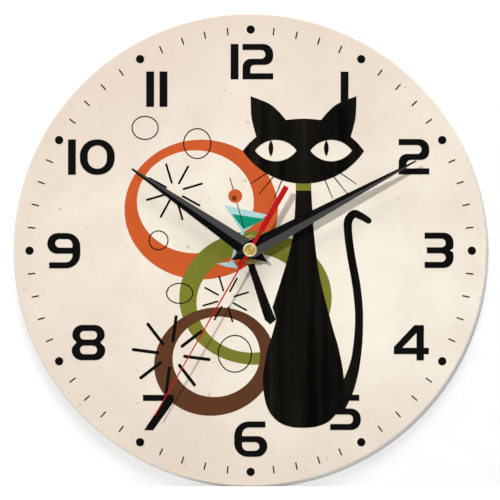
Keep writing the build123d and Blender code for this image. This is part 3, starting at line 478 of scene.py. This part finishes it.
def dress_nodes():
    """Gives every CAD node its material, each made once."""
    black = enamel("hand_black", (9, 9, 10), roughness=0.07)
    red = enamel("hand_red", (182, 5, 10), roughness=0.30, gloss=0.25)
    brass = metal("brass_turned", (196, 160, 84), roughness=0.30, tarnish=(140, 104, 48))
    brass_washer = metal(
        "brass_stamped", (206, 186, 120), roughness=0.30, tarnish=(152, 126, 70), scale=1400.0
    )
    steel = metal("arbor_steel", (190, 190, 192), roughness=0.25)
    plated = metal("contact_nickel", (205, 203, 196), roughness=0.22, grain=(0.1, 1.0, 1.0))
    lamination = metal("motor_steel", (150, 152, 156), roughness=0.36, grain=(0.15, 1.0, 1.0))
    magnet = metal("magnet_dark", (82, 82, 86), roughness=0.42)
    case = plastic("case_black", (24, 24, 25), roughness=0.55, texture=0.35, wear_and_highlight=(70, 70, 70))
    cover = plastic("cover_black", (22, 22, 23), roughness=0.62, texture=0.45, wear_and_highlight=(66, 66, 66))
    white = plastic("wheel_white", (226, 226, 220), roughness=0.38, translucent=True)
    natural = plastic("wheel_natural", (212, 208, 190), roughness=0.36, translucent=True)
    red_plastic = plastic("knob_red", (168, 26, 22), roughness=0.40, texture=0.1, wear_and_highlight=(206, 90, 80))
    chip = plastic("chip_epoxy", (14, 14, 15), roughness=0.22)
    wear = {
        dial_print(): ["dial_board"],
        rubber(): ["rubber_gasket"],
        brass: ["hex_nut", "threaded_bush", "second_socket", "minute_pipe"],
        brass_washer: ["brass_washer"],
        black: ["hour_hand", "hour_collet", "minute_hand", "minute_collet"],
        red: ["second_hand"],
        cap_metal(): ["second_cap"],
        case: ["front_case"],
        cover: ["back_cover"],
        natural: ["train_bridge", "intermediate_wheel", "third_wheel", "motion_wheel", "cell_seal"],
        white: ["coil_bobbin", "rotor_pinion", "second_wheel", "centre_wheel", "hour_wheel"],
        laminate(): ["circuit_board"],
        chip: ["chip_blob"],
        plated: ["quartz_crystal", "positive_contact", "negative_contact", "cell_can", "cell_foot"],
        winding(): ["coil_winding"],
        lamination: ["coil_core", "stator"],
        magnet: ["rotor_magnet"],
        steel: ["rotor_arbor", "second_arbor"],
        red_plastic: ["setting_knob"],
        cell_label(): ["cell_sleeve"],
    }
    for material, names in wear.items():
        for name in names:
            slots = NODES[name].material_slots
            for slot in slots:
                slot.material = material
            if not slots:
                NODES[name].data.materials.append(material)


# ======== outlines, in millimetres on the dial ===============================================
def ellipse(centre, half_width, half_height, count=96):
    return [
        (centre[0] + half_width * math.cos(angle), centre[1] + half_height * math.sin(angle))
        for angle in (math.tau * step / count for step in range(count))
    ]


def rounded(corners, steps=7):
    """A closed outline of (x, z) or (x, z, radius) corners, each radius a true arc."""
    outline = []
    for index, corner in enumerate(corners):
        here = Vector(corner[:2])
        if len(corner) == 2:
            outline.append(tuple(here))
            continue
        radius = corner[2]
        before = (Vector(corners[index - 1][:2]) - here).normalized()
        after = (Vector(corners[(index + 1) % len(corners)][:2]) - here).normalized()
        half = before.angle(after) / 2
        centre = here + (before + after).normalized() * (radius / math.sin(half))
        start = here + before * (radius / math.tan(half)) - centre
        sweep = math.pi - 2 * half
        if before.x * after.y - before.y * after.x > 0:
            sweep = -sweep
        for step in range(steps + 1):
            turn = sweep * step / steps
            cos, sin = math.cos(turn), math.sin(turn)
            x, z = start.x * cos - start.y * sin, start.x * sin + start.y * cos
            outline.append((centre.x + x, centre.y + z))
    return outline


def rounded_box(left, low, right, high, radius, steps=7):
    corners = ((left, low), (right, low), (right, high), (left, high))
    return rounded([(x, z, radius) for x, z in corners], steps)


def moved(outline, shift, turn=0.0):
    """An outline turned counter-clockwise by that many degrees, then shifted."""
    cos, sin = math.cos(math.radians(turn)), math.sin(math.radians(turn))
    return [(x * cos - z * sin + shift[0], x * sin + z * cos + shift[1]) for x, z in outline]


def polar(radius, clock_degrees):
    """A place at that radius, with degrees counted clockwise from twelve."""
    angle = math.radians(clock_degrees)
    return (radius * math.sin(angle), radius * math.cos(angle))


def square_bar(start, end, width):
    """A straight mark from start to end, with square ends."""
    run = Vector(end) - Vector(start)
    side = Vector((-run.y, run.x)).normalized() * width / 2
    start, end = Vector(start), Vector(end)
    return [tuple(place) for place in (start + side, start - side, end - side, end + side)]


def round_bar(start, end, width, end_width=None, steps=6):
    """A straight mark from start to end, tapered if asked, with round ends."""
    run = Vector(end) - Vector(start)
    along = run.normalized()
    side = Vector((-run.y, run.x)).normalized()
    outline = []
    for place, half, sign in ((start, width / 2, -1), (end, (end_width or width) / 2, 1)):
        for step in range(steps + 1):
            turn = math.pi * step / steps
            across = side * (half * math.cos(turn) * -sign)
            outline.append(tuple(Vector(place) + across + along * (half * math.sin(turn) * sign)))
    return outline


def smooth_line(points, steps=14):
    """A Catmull-Rom line through the points."""
    padded = [points[0], *points, points[-1]]
    line = []
    for run in zip(padded, padded[1:], padded[2:], padded[3:]):
        before, start, end, after = (Vector(point) for point in run)
        for step in range(steps):
            t = step / steps
            line.append(0.5 * (2 * start + (end - before) * t
                               + (2 * before - 5 * start + 4 * end - after) * t**2
                               + (3 * start - before - 3 * end + after) * t**3))
    line.append(Vector(points[-1]))
    return line


def joined(*runs, steps=8):
    """One closed outline from smooth runs of points that meet end to end."""
    return [tuple(point) for run in runs for point in smooth_line(run, steps)[:-1]]


def brush(points, widths, cap_steps=8):
    """A stroke along a smooth line, its width running evenly between the listed widths."""
    line = smooth_line(points)
    left, right = [], []
    for index, point in enumerate(line):
        ahead, behind = line[min(index + 1, len(line) - 1)], line[max(index - 1, 0)]
        along = (ahead - behind).normalized()
        place = index / (len(line) - 1) * (len(widths) - 1)
        low = min(int(place), len(widths) - 2)
        half = (widths[low] + (widths[low + 1] - widths[low]) * (place - low)) / 2
        side = Vector((-along.y, along.x)) * half
        left.append(point + side)
        right.append(point - side)
    end, along = line[-1], (line[-1] - line[-2]).normalized()
    side = left[-1] - end
    tip = [
        end + side * math.cos(turn) + along * side.length * math.sin(turn)
        for turn in (math.pi * step / cap_steps for step in range(1, cap_steps))
    ]
    return [tuple(point) for point in (*left, *tip, *reversed(right))]


def lens(centre, width, height, steps=20):
    """An almond: two equal arcs that meet in points at its left and right."""
    half, rise = width / 2, height / 2
    radius = (half**2 + rise**2) / (2 * rise)
    sweep = math.asin(half / radius)
    upper = [
        (radius * math.sin(turn), radius * math.cos(turn) - (radius - rise))
        for turn in (sweep * (2 * step / steps - 1) for step in range(steps + 1))
    ]
    lower = [(-x, -z) for x, z in upper[1:-1]]
    return moved(upper + lower, centre)


# ======== turning outlines into thin raised layers of ink ====================================
WELD = 0.2e-6
DRILL_SIDES = 64


def worked_out(piece):
    """The mesh of an object once its curves or modifiers are worked out."""
    graph = bpy.context.evaluated_depsgraph_get()
    return bpy.data.meshes.new_from_object(piece.evaluated_get(graph))


def filled_sheet(name, outlines, thickness):
    """A closed flat sheet between the outlines; an outline inside another is a hole."""
    curve = bpy.data.curves.new(name, "CURVE")
    curve.dimensions = "2D"
    curve.fill_mode = "BOTH"
    curve.extrude = thickness / 2
    for outline in outlines:
        spline = curve.splines.new("POLY")
        spline.points.add(len(outline) - 1)
        for point, (x, z) in zip(spline.points, outline):
            point.co = (x, z, 0.0, 1.0)
        spline.use_cyclic_u = True
    draft = bpy.data.objects.new(name + "_draft", curve)
    bpy.context.scene.collection.objects.link(draft)
    mesh = worked_out(draft)
    bpy.data.objects.remove(draft)
    mesh.name = name
    return mesh


def stand_on_dial(mesh, thickness):
    """Stands a sheet up on the dial's face, scaled to metres, its back sunk in, and welds it."""
    middle = thickness / 2 - INK_SUNK
    for vertex in mesh.vertices:
        x, z, depth = vertex.co
        vertex.co = (x * MM, FACE_Y - (depth + middle) * MM, z * MM)
    form = bmesh.new()
    form.from_mesh(mesh)
    bmesh.ops.remove_doubles(form, verts=form.verts, dist=WELD)
    bmesh.ops.recalc_face_normals(form, faces=form.faces)
    form.to_mesh(mesh)
    form.free()


def cut_round_axis(piece):
    """Clears the print where the board's centre hole is."""
    bpy.ops.mesh.primitive_cylinder_add(
        vertices=DRILL_SIDES, radius=HOLE_CLEAR * MM, depth=2 * MM,
        location=(0, FACE_Y, 0), rotation=(math.radians(90), 0, 0),
    )
    drill = bpy.context.object
    cut = piece.modifiers.new("hole", "BOOLEAN")
    cut.operation = "DIFFERENCE"
    cut.solver = "EXACT"
    cut.object = drill
    mesh = worked_out(piece)
    piece.modifiers.clear()
    piece.data = mesh
    bpy.data.objects.remove(drill)


def printed(name, outlines, layer, material, clear_axis=False):
    """One piece of the print, as a sheet of ink that stands its layers' height off the paper."""
    thickness = INK_STEP * layer + INK_SUNK
    mesh = filled_sheet(name, outlines, thickness)
    stand_on_dial(mesh, thickness)
    mesh.materials.clear()
    mesh.materials.append(material)
    piece = bpy.data.objects.new(name, mesh)
    bpy.context.scene.collection.objects.link(piece)
    if clear_axis:
        cut_round_axis(piece)
    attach(piece, BOARD_BODY)


# ======== the numbers ========================================================================
HEIGHT = 18.7
MIDDLE = HEIGHT / 2
UPRIGHT = 4.15
LEVEL = 3.2
LOW_TOP = HEIGHT - LEVEL
OUTER = 5.2
INNER = 2.2
NUMBER_RADIUS = 99.0
NUMBER_SHIFT = (1.0, -0.15)
# How far each number stands off its place on the circle, to the right and up.
NUMBER_NUDGE = {
    1: (-0.5, -0.6), 4: (-1.4, 0.6), 6: (-0.6, -0.9), 7: (0.0, -0.1), 8: (-0.7, 0.7),
    9: (-0.5, -0.2), 10: (0.8, -0.2), 11: (-0.8, -0.5), 12: (0.0, 0.8),
}
DIGIT_GAP = 2.15
ONES_GAP = 2.9
HOUR_ANGLE = 30
MINUTE_ANGLE = 6
MARK_RADIUS = 117.0
MARK_SHIFT = (0.35, -0.35)
DOT_RADIUS = 2.2
TICK_WIDTH = 0.7
TICK_LENGTH = 3.9
TICK_INSIDE = 2.45


# Each digit gives its width, and its outlines from its lower left corner.
def digit_0():
    width, outer_bend, inner_bend, steps = 18.4, 8.6, 5.0, 12
    return width, [
        rounded_box(0, 0, width, HEIGHT, outer_bend, steps),
        rounded_box(UPRIGHT, LEVEL, width - UPRIGHT, LOW_TOP, inner_bend, steps),
    ]


def digit_1():
    return UPRIGHT, [[(0, 0), (UPRIGHT, 0), (UPRIGHT, HEIGHT), (0, HEIGHT)]]


def digit_2():
    width, belly, bend = 16.2, MIDDLE - 1.7, 4.4
    inside = width - UPRIGHT
    return width, [rounded([
        (0, HEIGHT), (width, HEIGHT, OUTER), (width, belly, bend), (UPRIGHT, belly, INNER),
        (UPRIGHT, LEVEL), (width, LEVEL), (width, 0), (0, 0), (0, belly + LEVEL, bend),
        (inside, belly + LEVEL, INNER), (inside, LOW_TOP, INNER), (0, LOW_TOP),
    ])]


def digit_3():
    width, half, notch_left = 15.3, LEVEL / 2, 1.2
    notch_depth, notch_half, notch_bend = 2.0, 1.1, 1.6
    inside = width - UPRIGHT
    return width, [rounded([
        (0, HEIGHT), (width, HEIGHT, OUTER), (width, MIDDLE + notch_half, notch_bend),
        (width - notch_depth, MIDDLE), (width, MIDDLE - notch_half, notch_bend), (width, 0, OUTER),
        (0, 0), (0, LEVEL), (inside, LEVEL, INNER), (inside, MIDDLE - half, INNER),
        (notch_left, MIDDLE - half), (notch_left, MIDDLE + half), (inside, MIDDLE + half, INNER),
        (inside, LOW_TOP, INNER), (0, LOW_TOP),
    ])]


def digit_4():
    width, bar_low, post, post_end = 18.5, 3.3, 12.0, 15.9
    bar_top = bar_low + LEVEL + 0.2
    outside = [
        (10.9, HEIGHT), (post_end, HEIGHT), (post_end, bar_top), (width, bar_top), (width, bar_low),
        (post_end, bar_low), (post_end, 0), (post, 0), (post, bar_low), (0, bar_low),
        (0, bar_top + 0.5),
    ]
    return width, [outside, [(4.4, bar_top), (post, bar_top), (post, 14.6)]]


def digit_5():
    width, flag, belly = 16.2, 15.4, MIDDLE + 2.05
    inside = width - UPRIGHT
    return width, [rounded([
        (0, HEIGHT), (flag, HEIGHT), (flag, LOW_TOP), (UPRIGHT, LOW_TOP), (UPRIGHT, belly),
        (width, belly, OUTER), (width, 0, OUTER), (0, 0), (0, LEVEL), (inside, LEVEL, INNER),
        (inside, belly - LEVEL, INNER), (0, belly - LEVEL),
    ])]


def digit_6():
    width, flag, belly = 17.5, 16.5, MIDDLE + 1.6
    inside = width - UPRIGHT
    return width, [
        rounded([
            (flag, HEIGHT), (0, HEIGHT, 7.6), (0, 0, 7.2), (width, 0, 5.6), (width, belly, OUTER),
            (UPRIGHT, belly), (UPRIGHT, LOW_TOP, 3.6), (flag, LOW_TOP),
        ]),
        rounded([
            (UPRIGHT, LEVEL, 3.0), (inside, LEVEL, 2.4), (inside, belly - LEVEL, 2.4),
            (UPRIGHT, belly - LEVEL, 0.5),
        ]),
    ]


def digit_7():
    width, foot, heel, elbow = 16.3, 0.6, 5.4, 10.9
    return width, [[
        (0, HEIGHT), (width, HEIGHT), (width, LOW_TOP - 0.3), (heel, 0), (foot, 0),
        (elbow, LOW_TOP), (0, LOW_TOP),
    ]]


def digit_8():
    width, shoulder, waist, waist_bend, bend = 17.7, 0.3, 2.6, 0.5, 2.8
    upper, lower = MIDDLE + 2.6, MIDDLE - 2.5
    left, right, half = UPRIGHT + 0.2, width - UPRIGHT - 0.2, 1.6
    return width, [
        rounded([
            (shoulder, HEIGHT, OUTER), (width - shoulder, HEIGHT, OUTER), (width - shoulder, upper, bend),
            (width - waist, MIDDLE, waist_bend), (width, lower, bend), (width, 0, OUTER), (0, 0, OUTER),
            (0, lower, bend), (waist, MIDDLE, waist_bend), (shoulder, upper, bend),
        ]),
        rounded_box(left, MIDDLE + half, right, LOW_TOP, INNER),
        rounded_box(left, LEVEL, right, MIDDLE - half, INNER),
    ]


def digit_9():
    """A six, turned half round."""
    width, six = digit_6()
    return width, [[(width - x, HEIGHT - z) for x, z in outline] for outline in six]


DIGITS = (digit_0, digit_1, digit_2, digit_3, digit_4, digit_5, digit_6, digit_7, digit_8, digit_9)


def number_outlines(hour):
    """An hour's number, upright and centred at its place on the dial; eleven is set wider."""
    digits = [DIGITS[int(figure)]() for figure in str(hour)]
    gap = ONES_GAP if hour == 11 else DIGIT_GAP
    number_width = sum(width for width, shapes in digits) + gap * (len(digits) - 1)
    x, z = polar(NUMBER_RADIUS, hour * HOUR_ANGLE)
    nudge = NUMBER_NUDGE.get(hour, (0.0, 0.0))
    left = x + NUMBER_SHIFT[0] + nudge[0] - number_width / 2
    base = z + NUMBER_SHIFT[1] + nudge[1] - MIDDLE
    outlines = []
    for width, shapes in digits:
        outlines += [moved(shape, (left, base)) for shape in shapes]
        left += width + gap
    return outlines


def hour_marks(material):
    """The numbers, a dot at each hour and a tick at each minute between."""
    for hour in range(1, 13):
        printed(f"number_{hour}", number_outlines(hour), LAYER["number"], material)
    dots = [
        ellipse(polar(MARK_RADIUS, hour * HOUR_ANGLE), DOT_RADIUS, DOT_RADIUS, count=36)
        for hour in range(12)
    ]
    printed("hour_dots", [moved(dot, MARK_SHIFT) for dot in dots], LAYER["mark"], material)
    inner = MARK_RADIUS - TICK_INSIDE
    outer = inner + TICK_LENGTH
    angles = [minute * MINUTE_ANGLE for minute in range(60) if minute % 5]
    ticks = [square_bar(polar(inner, angle), polar(outer, angle), TICK_WIDTH) for angle in angles]
    printed("minute_ticks", [moved(tick, MARK_SHIFT) for tick in ticks], LAYER["mark"], material)


# ======== the ornament: rings, circles and starbursts ========================================
RINGS = [
    # name, colour, tilt in degrees, outer centre and half sizes, inner centre and half sizes
    ("orange_ring", INK_ORANGE, 0, ((-25.8, 21.4), 40.6, 37.0), ((-28.9, 25.5), 30.9, 27.2)),
    ("olive_ring", INK_OLIVE, 0, ((2.9, -25.3), 40.3, 35.4), ((1.0, -28.0), 29.3, 26.3)),
    ("brown_ring", INK_BROWN, 16, ((-18.8, -59.0), 32.2, 28.4), ((-17.8, -56.5), 23.3, 21.1)),
]
CIRCLE_LINE = 0.62
CIRCLES = [
    # centre and half sizes
    ((-55.5, 64.6), 6.9, 6.1), ((-27.9, 56.3), 7.2, 7.9), ((-48.4, 5.1), 5.0, 5.0),
    ((-37.2, -22.9), 6.9, 5.3), ((-8.0, -54.9), 8.8, 9.7),
]
RAYS = 8
BURSTS = [
    # centre, inner and outer radius, line width, clock angle of the first ray
    ((-40.0, 30.8), 5.1, 15.1, 1.12, -16.5),
    ((-12.8, -25.9), 4.6, 12.4, 0.95, -16.5),
    ((-41.7, -55.3), 7.2, 20.2, 1.7, 7.5),
]


def rings():
    """Three coloured rings, the first two cut away round the hands' axis."""
    for layer, (name, colour, tilt, *edges) in enumerate(RINGS, LAYER["ring"]):
        material = ink(name.split("_")[0], colour)
        loops = [moved(ellipse((0, 0), width, height), centre, tilt) for centre, width, height in edges]
        printed(name, loops, layer, material, clear_axis=name in ("orange_ring", "olive_ring"))


def thin_circles(black):
    loops = []
    for centre, half_width, half_height in CIRCLES:
        for line in (CIRCLE_LINE / 2, -CIRCLE_LINE / 2):
            loops.append(ellipse(centre, half_width + line, half_height + line, count=72))
    printed("thin_circles", loops, LAYER["circle"], black)


def starbursts(black):
    rays = []
    for centre, inner, outer, width, first in BURSTS:
        for number in range(RAYS):
            clock = first + 360 / RAYS * number
            rays.append(moved(round_bar(polar(inner, clock), polar(outer, clock), width), centre))
    printed("starbursts", rays, LAYER["burst"], black)


# ======== the cat and its glass ==============================================================
CAT_X = 28.3
HEAD_Z = 52.4
CHEEK = 32.1
CHIN = 17.3
CHIN_STEPS = 20
EYE_OFFSET = 14.65
EYE_LIFT = 0.2
EYE_SIZE = (22.0, 11.3)
PUPIL_SIZE = (8.8, 2.5)
PUPIL_SHIFT = (-2.6, 1.4)
ELBOW = (13.9, -36.8)
# Places of a whisker's root and tip, off the head's middle, and its widths there.
WHISKERS = [
    ((11.2, -15.0), (15.4, -25.0)), ((15.7, -13.3), (23.4, -22.8)), ((19.6, -11.7), (28.0, -17.5)),
]
WHISKER_WIDTHS = (0.6, 0.4)
COLLAR_HALF = 4.1
COLLAR_LOW = 30.8
COLLAR_HIGH = 36.5


def mirrored(half):
    """An outline that is given down its left half, closed by its mirror image."""
    return half + [(2 * CAT_X - x, z) for x, z in reversed(half) if abs(x - CAT_X) > 1e-6]


def cat_head(black):
    """An almond head with pointed ears, two almond eyes left open, and upright pupils in them."""
    radius = (CHEEK**2 + CHIN**2) / (2 * CHIN)
    sweep = math.asin(CHEEK / radius)
    chin = [
        (CAT_X - radius * math.sin(turn), HEAD_Z - CHIN + radius * (1 - math.cos(turn)))
        for turn in (sweep * (1 - step / CHIN_STEPS) for step in range(CHIN_STEPS + 1))
    ]
    brow, ear_root, ear_tip, ear_foot = (CAT_X, 69.5), (19.0, 68.8), (0.3, 81.4), (3.3, 59.9)
    half_head = joined(
        [brow, (24.0, 69.3), ear_root], [ear_root, (15.2, 73.2), (10.0, 77.5), ear_tip],
        [ear_tip, (0.8, 70.0), ear_foot], [ear_foot, (-0.4, 56.5), chin[0]],
    )
    eyes, pupils = [], []
    for side in (-1, 1):
        x, z = CAT_X + side * EYE_OFFSET, HEAD_Z
        eyes.append(lens((x, z + EYE_LIFT), *EYE_SIZE))
        pupil = lens((0, 0), *PUPIL_SIZE, steps=10)
        pupils.append(moved(pupil, (x + PUPIL_SHIFT[0], z + PUPIL_SHIFT[1]), turn=90))
    printed("cat_head", [mirrored(half_head + chin), *eyes], LAYER["cat"], black)
    printed("cat_pupils", pupils, LAYER["pupil"], black)


def cat_body(black):
    """A pear, from the neck down the left side to the base, and up the right side."""
    shoulder, base, neck_left, neck_right = (11.9, -30.3), (CAT_X, -94.1), (24.3, 31.4), (32.4, 31.4)
    body = joined(
        [neck_left, (23.0, 10.0), (20.6, -2.0), (16.9, -14.6), shoulder], [shoulder, ELBOW],
        [ELBOW, (11.8, -44.7), (8.9, -54.2), (6.8, -69.0), (8.8, -82.4), (14.1, -90.2),
         (21.2, -93.5), base],
        [base, (35.3, -93.4), (42.6, -90.0), (48.0, -81.8), (49.7, -69.0), (47.0, -52.6), (43.4, -39.9),
         (37.0, -14.6), (33.9, 8.0), neck_right],
        [neck_right, neck_left],
    )
    printed("cat_body", [body], LAYER["cat"], black)


def cat_tail(black):
    """A raised tail with a hook at its tip, given as (x, z) places and the widths there."""
    places = [
        (45.2, -84.0), (51.4, -73.0), (56.0, -57.8), (57.7, -38.0), (56.6, -21.0), (53.3, -2.0),
        (51.8, 10.5), (52.2, 16.0), (55.1, 19.1), (58.7, 17.9), (62.7, 15.5),
    ]
    widths = [9.5, 7.4, 4.9, 4.2, 4.3, 4.2, 4.3, 4.5, 4.3, 3.8, 3.2]
    printed("cat_tail", [brush(places, widths)], LAYER["limb"], black)


def cat_foreleg(black):
    top_left, top_right, heel, toe = (-2.3, -4.6), (1.2, -4.6), (10.6, -39.4), (7.9, -37.0)
    foreleg = joined(
        [top_right, (11.3, -31.0), ELBOW], [ELBOW, heel], [heel, toe], [toe, (5.9, -31.0), top_left],
        [top_left, top_right],
    )
    printed("cat_foreleg", [foreleg], LAYER["limb"], black, clear_axis=True)


def cat_whiskers(black):
    whiskers = []
    for side in (-1, 1):
        for ends in WHISKERS:
            root, tip = [(CAT_X + side * x, HEAD_Z + z) for x, z in ends]
            whiskers.append(round_bar(root, tip, *WHISKER_WIDTHS))
    printed("cat_whiskers", whiskers, LAYER["limb"], black)


def cat_collar():
    left, right = CAT_X - COLLAR_HALF, CAT_X + COLLAR_HALF
    collar = [(left, COLLAR_LOW), (right, COLLAR_LOW), (right, COLLAR_HIGH), (left, COLLAR_HIGH)]
    printed("cat_collar", [collar], LAYER["limb"], ink("collar", INK_OLIVE))


def cat(black):
    """A plain seated cat."""
    cat_head(black)
    cat_body(black)
    cat_tail(black)
    cat_foreleg(black)
    cat_whiskers(black)
    cat_collar()


def drink(black):
    """A plain cone glass with a ball on a stick."""
    pale, teal, orange = ink("glass", INK_PALE), ink("drink", INK_TEAL), ink("ball", INK_ORANGE)
    bowl = [(-13.6, 23.7), (-3.9, 9.0), (9.4, 18.6)]
    stem_and_foot = [
        (-4.7, 10.0), (-8.7, 0.1), (-10.1, -5.6), (-11.4, -6.4), (-17.8, -7.1), (-12.6, -8.8),
        (-6.0, -9.9), (-8.8, -6.2), (-6.6, -1.4), (-2.9, 10.0),
    ]
    filled = [(-9.8, 19.1), (-3.3, 10.9), (8.1, 16.4)]
    printed("glass_bowl", [bowl], LAYER["bowl"], pale)
    printed("glass_stem", [stem_and_foot], LAYER["stem"], pale, clear_axis=True)
    printed("glass_drink", [filled], LAYER["drink"], teal)
    stick = round_bar((-10.6, 38.2), (-3.3, 11.8), width=0.45)
    ball, core = ellipse((-7.8, 28.6), 3.7, 3.6, count=48), ellipse((-8.4, 27.4), 1.35, 1.35, count=32)
    printed("ball_stick", [stick], LAYER["stick"], black)
    printed("ball", [ball], LAYER["ball"], orange)
    printed("ball_core", [core], LAYER["core"], ink("core", INK_CORE))


# ======== floor, light and camera ============================================================
def studio_white(name, glow, see_through=False):
    """Matt white paper that glows a little, so that it stays white between the shadows.

    Other surfaces get only a weak bounce from it, which keeps their shadows plain. A see-through
    sheet is only there for what looks at its front.
    """
    white_dark, white_pale = (222, 222, 222), (228, 228, 228)
    look = Shader(name)
    output = next(node for node in look.tree.nodes if node.type == "OUTPUT_MATERIAL")
    fibre = look.noise(60.0, detail=4.0)
    look.colour(look.ramp(fibre, [(0.2, linear(white_dark)), (0.8, linear(white_pale))]))
    look.put("Roughness", 0.9)
    look.put("Specular IOR Level", 0.1)
    look.put("Emission Color", (1.0, 1.0, 1.0, 1.0))
    look.put("Emission Strength", glow)
    weak = look.new("ShaderNodeBsdfDiffuse")
    weak.inputs["Color"].default_value = (BOUNCE, BOUNCE, BOUNCE, 1.0)
    seen = look.new("ShaderNodeLightPath").outputs["Is Camera Ray"]
    sheet = look.choose(seen, weak.outputs[0], look.surface.outputs[0])
    if see_through:
        back = look.new("ShaderNodeNewGeometry").outputs["Backfacing"]
        sheet = look.choose(back, sheet, look.new("ShaderNodeBsdfTransparent").outputs[0])
    look.link(sheet, output.inputs["Surface"])
    return look.material


def stage_mesh(name, corners, faces, material):
    mesh = bpy.data.meshes.new(name)
    mesh.from_pydata(corners, [], faces)
    mesh.materials.append(material)
    piece = bpy.data.objects.new(name, mesh)
    bpy.context.scene.collection.objects.link(piece)


def floor():
    """A white sheet just under the clock."""
    half, z = STAGE_HALF, CAD_LOW.z - FLOOR_DROP
    corners = [(-half, -FLOOR_FRONT, z), (half, -FLOOR_FRONT, z), (half, half, z), (-half, half, z)]
    stage_mesh("floor", corners, [(0, 1, 2, 3)], studio_white("floor_white", FLOOR_GLOW))


def backdrop():
    """A white sheet round the dial's edge, with a hole that lets light reach the clock's back."""
    y = FACE_Y + BACKDROP_DEPTH
    hole = DIAL_RADIUS + BACKDROP_GAP
    inner, outer = ellipse((0, 0), hole, hole), ellipse((0, 0), STAGE_HALF, STAGE_HALF)
    corners = [(x, y, z) for x, z in inner + outer]
    count = len(inner)
    faces = [
        (step, count + step, count + (step + 1) % count, (step + 1) % count) for step in range(count)
    ]
    material = studio_white("backdrop_white", BACKDROP_GLOW, see_through=True)
    stage_mesh("backdrop", corners, faces, material)


def lamp(name, place, size, power):
    """An oblong lamp aimed at the hands' axis."""
    data = bpy.data.lights.new(name, "AREA")
    data.shape = "RECTANGLE"
    data.size, data.size_y = size
    data.energy = power
    light = bpy.data.objects.new(name, data)
    light.location = place
    light.rotation_euler = (Vector() - Vector(place)).to_track_quat("-Z", "Y").to_euler()
    bpy.context.scene.collection.objects.link(light)


def room():
    """A white room, dark only straight in front of the dial, where gloss would mirror it."""
    world = bpy.data.worlds.new("studio")
    bpy.context.scene.world = world
    world.use_nodes = True
    tree = world.node_tree
    background = tree.nodes["Background"]

    split = tree.nodes.new("ShaderNodeSeparateXYZ")
    tree.links.new(tree.nodes.new("ShaderNodeTexCoord").outputs["Generated"], split.inputs[0])
    darkest, lit = -math.cos(math.radians(DARK_ANGLE)), -math.cos(math.radians(LIT_ANGLE))
    fill = map_range(tree, split.outputs["Y"], darkest, lit, ROOM_DARK, ROOM_LIGHT)
    # A number mix takes its factor at input 0 and its numbers at 2 and 3.
    choose = tree.nodes.new("ShaderNodeMix")
    tree.links.new(tree.nodes.new("ShaderNodeLightPath").outputs["Is Camera Ray"], choose.inputs[0])
    tree.links.new(fill, choose.inputs[2])
    choose.inputs[3].default_value = 1.0
    tree.links.new(choose.outputs[0], background.inputs["Strength"])
    background.inputs["Color"].default_value = (1.0, 1.0, 1.0, 1.0)


def camera():
    """A camera straight in front of the hands' axis, whose frame's width is known at the dial."""
    data = bpy.data.cameras.new("camera")
    data.sensor_width = SENSOR_WIDTH
    data.lens = SENSOR_WIDTH * (VIEW_DISTANCE - abs(FACE_Y)) / FRAME_WIDTH
    data.clip_end = FAR_CLIP
    viewer = bpy.data.objects.new("camera", data)
    viewer.location = (0.0, -VIEW_DISTANCE, 0.0)
    viewer.rotation_euler = (math.radians(90), 0.0, 0.0)
    bpy.context.scene.collection.objects.link(viewer)
    bpy.context.scene.camera = viewer
    bpy.context.scene.view_settings.view_transform = "Standard"


# ======== the whole scene ====================================================================
camera()
room()
lamp("key", *KEY_LAMP)
lamp("panel", *PANEL_LAMP)
lamp("overhead", *OVERHEAD_LAMP)
floor()
backdrop()
dress_nodes()
black_ink = ink("black", INK_BLACK, 0.05)
hour_marks(black_ink)
rings()
thin_circles(black_ink)
starbursts(black_ink)
cat(cat_ink())
drink(black_ink)
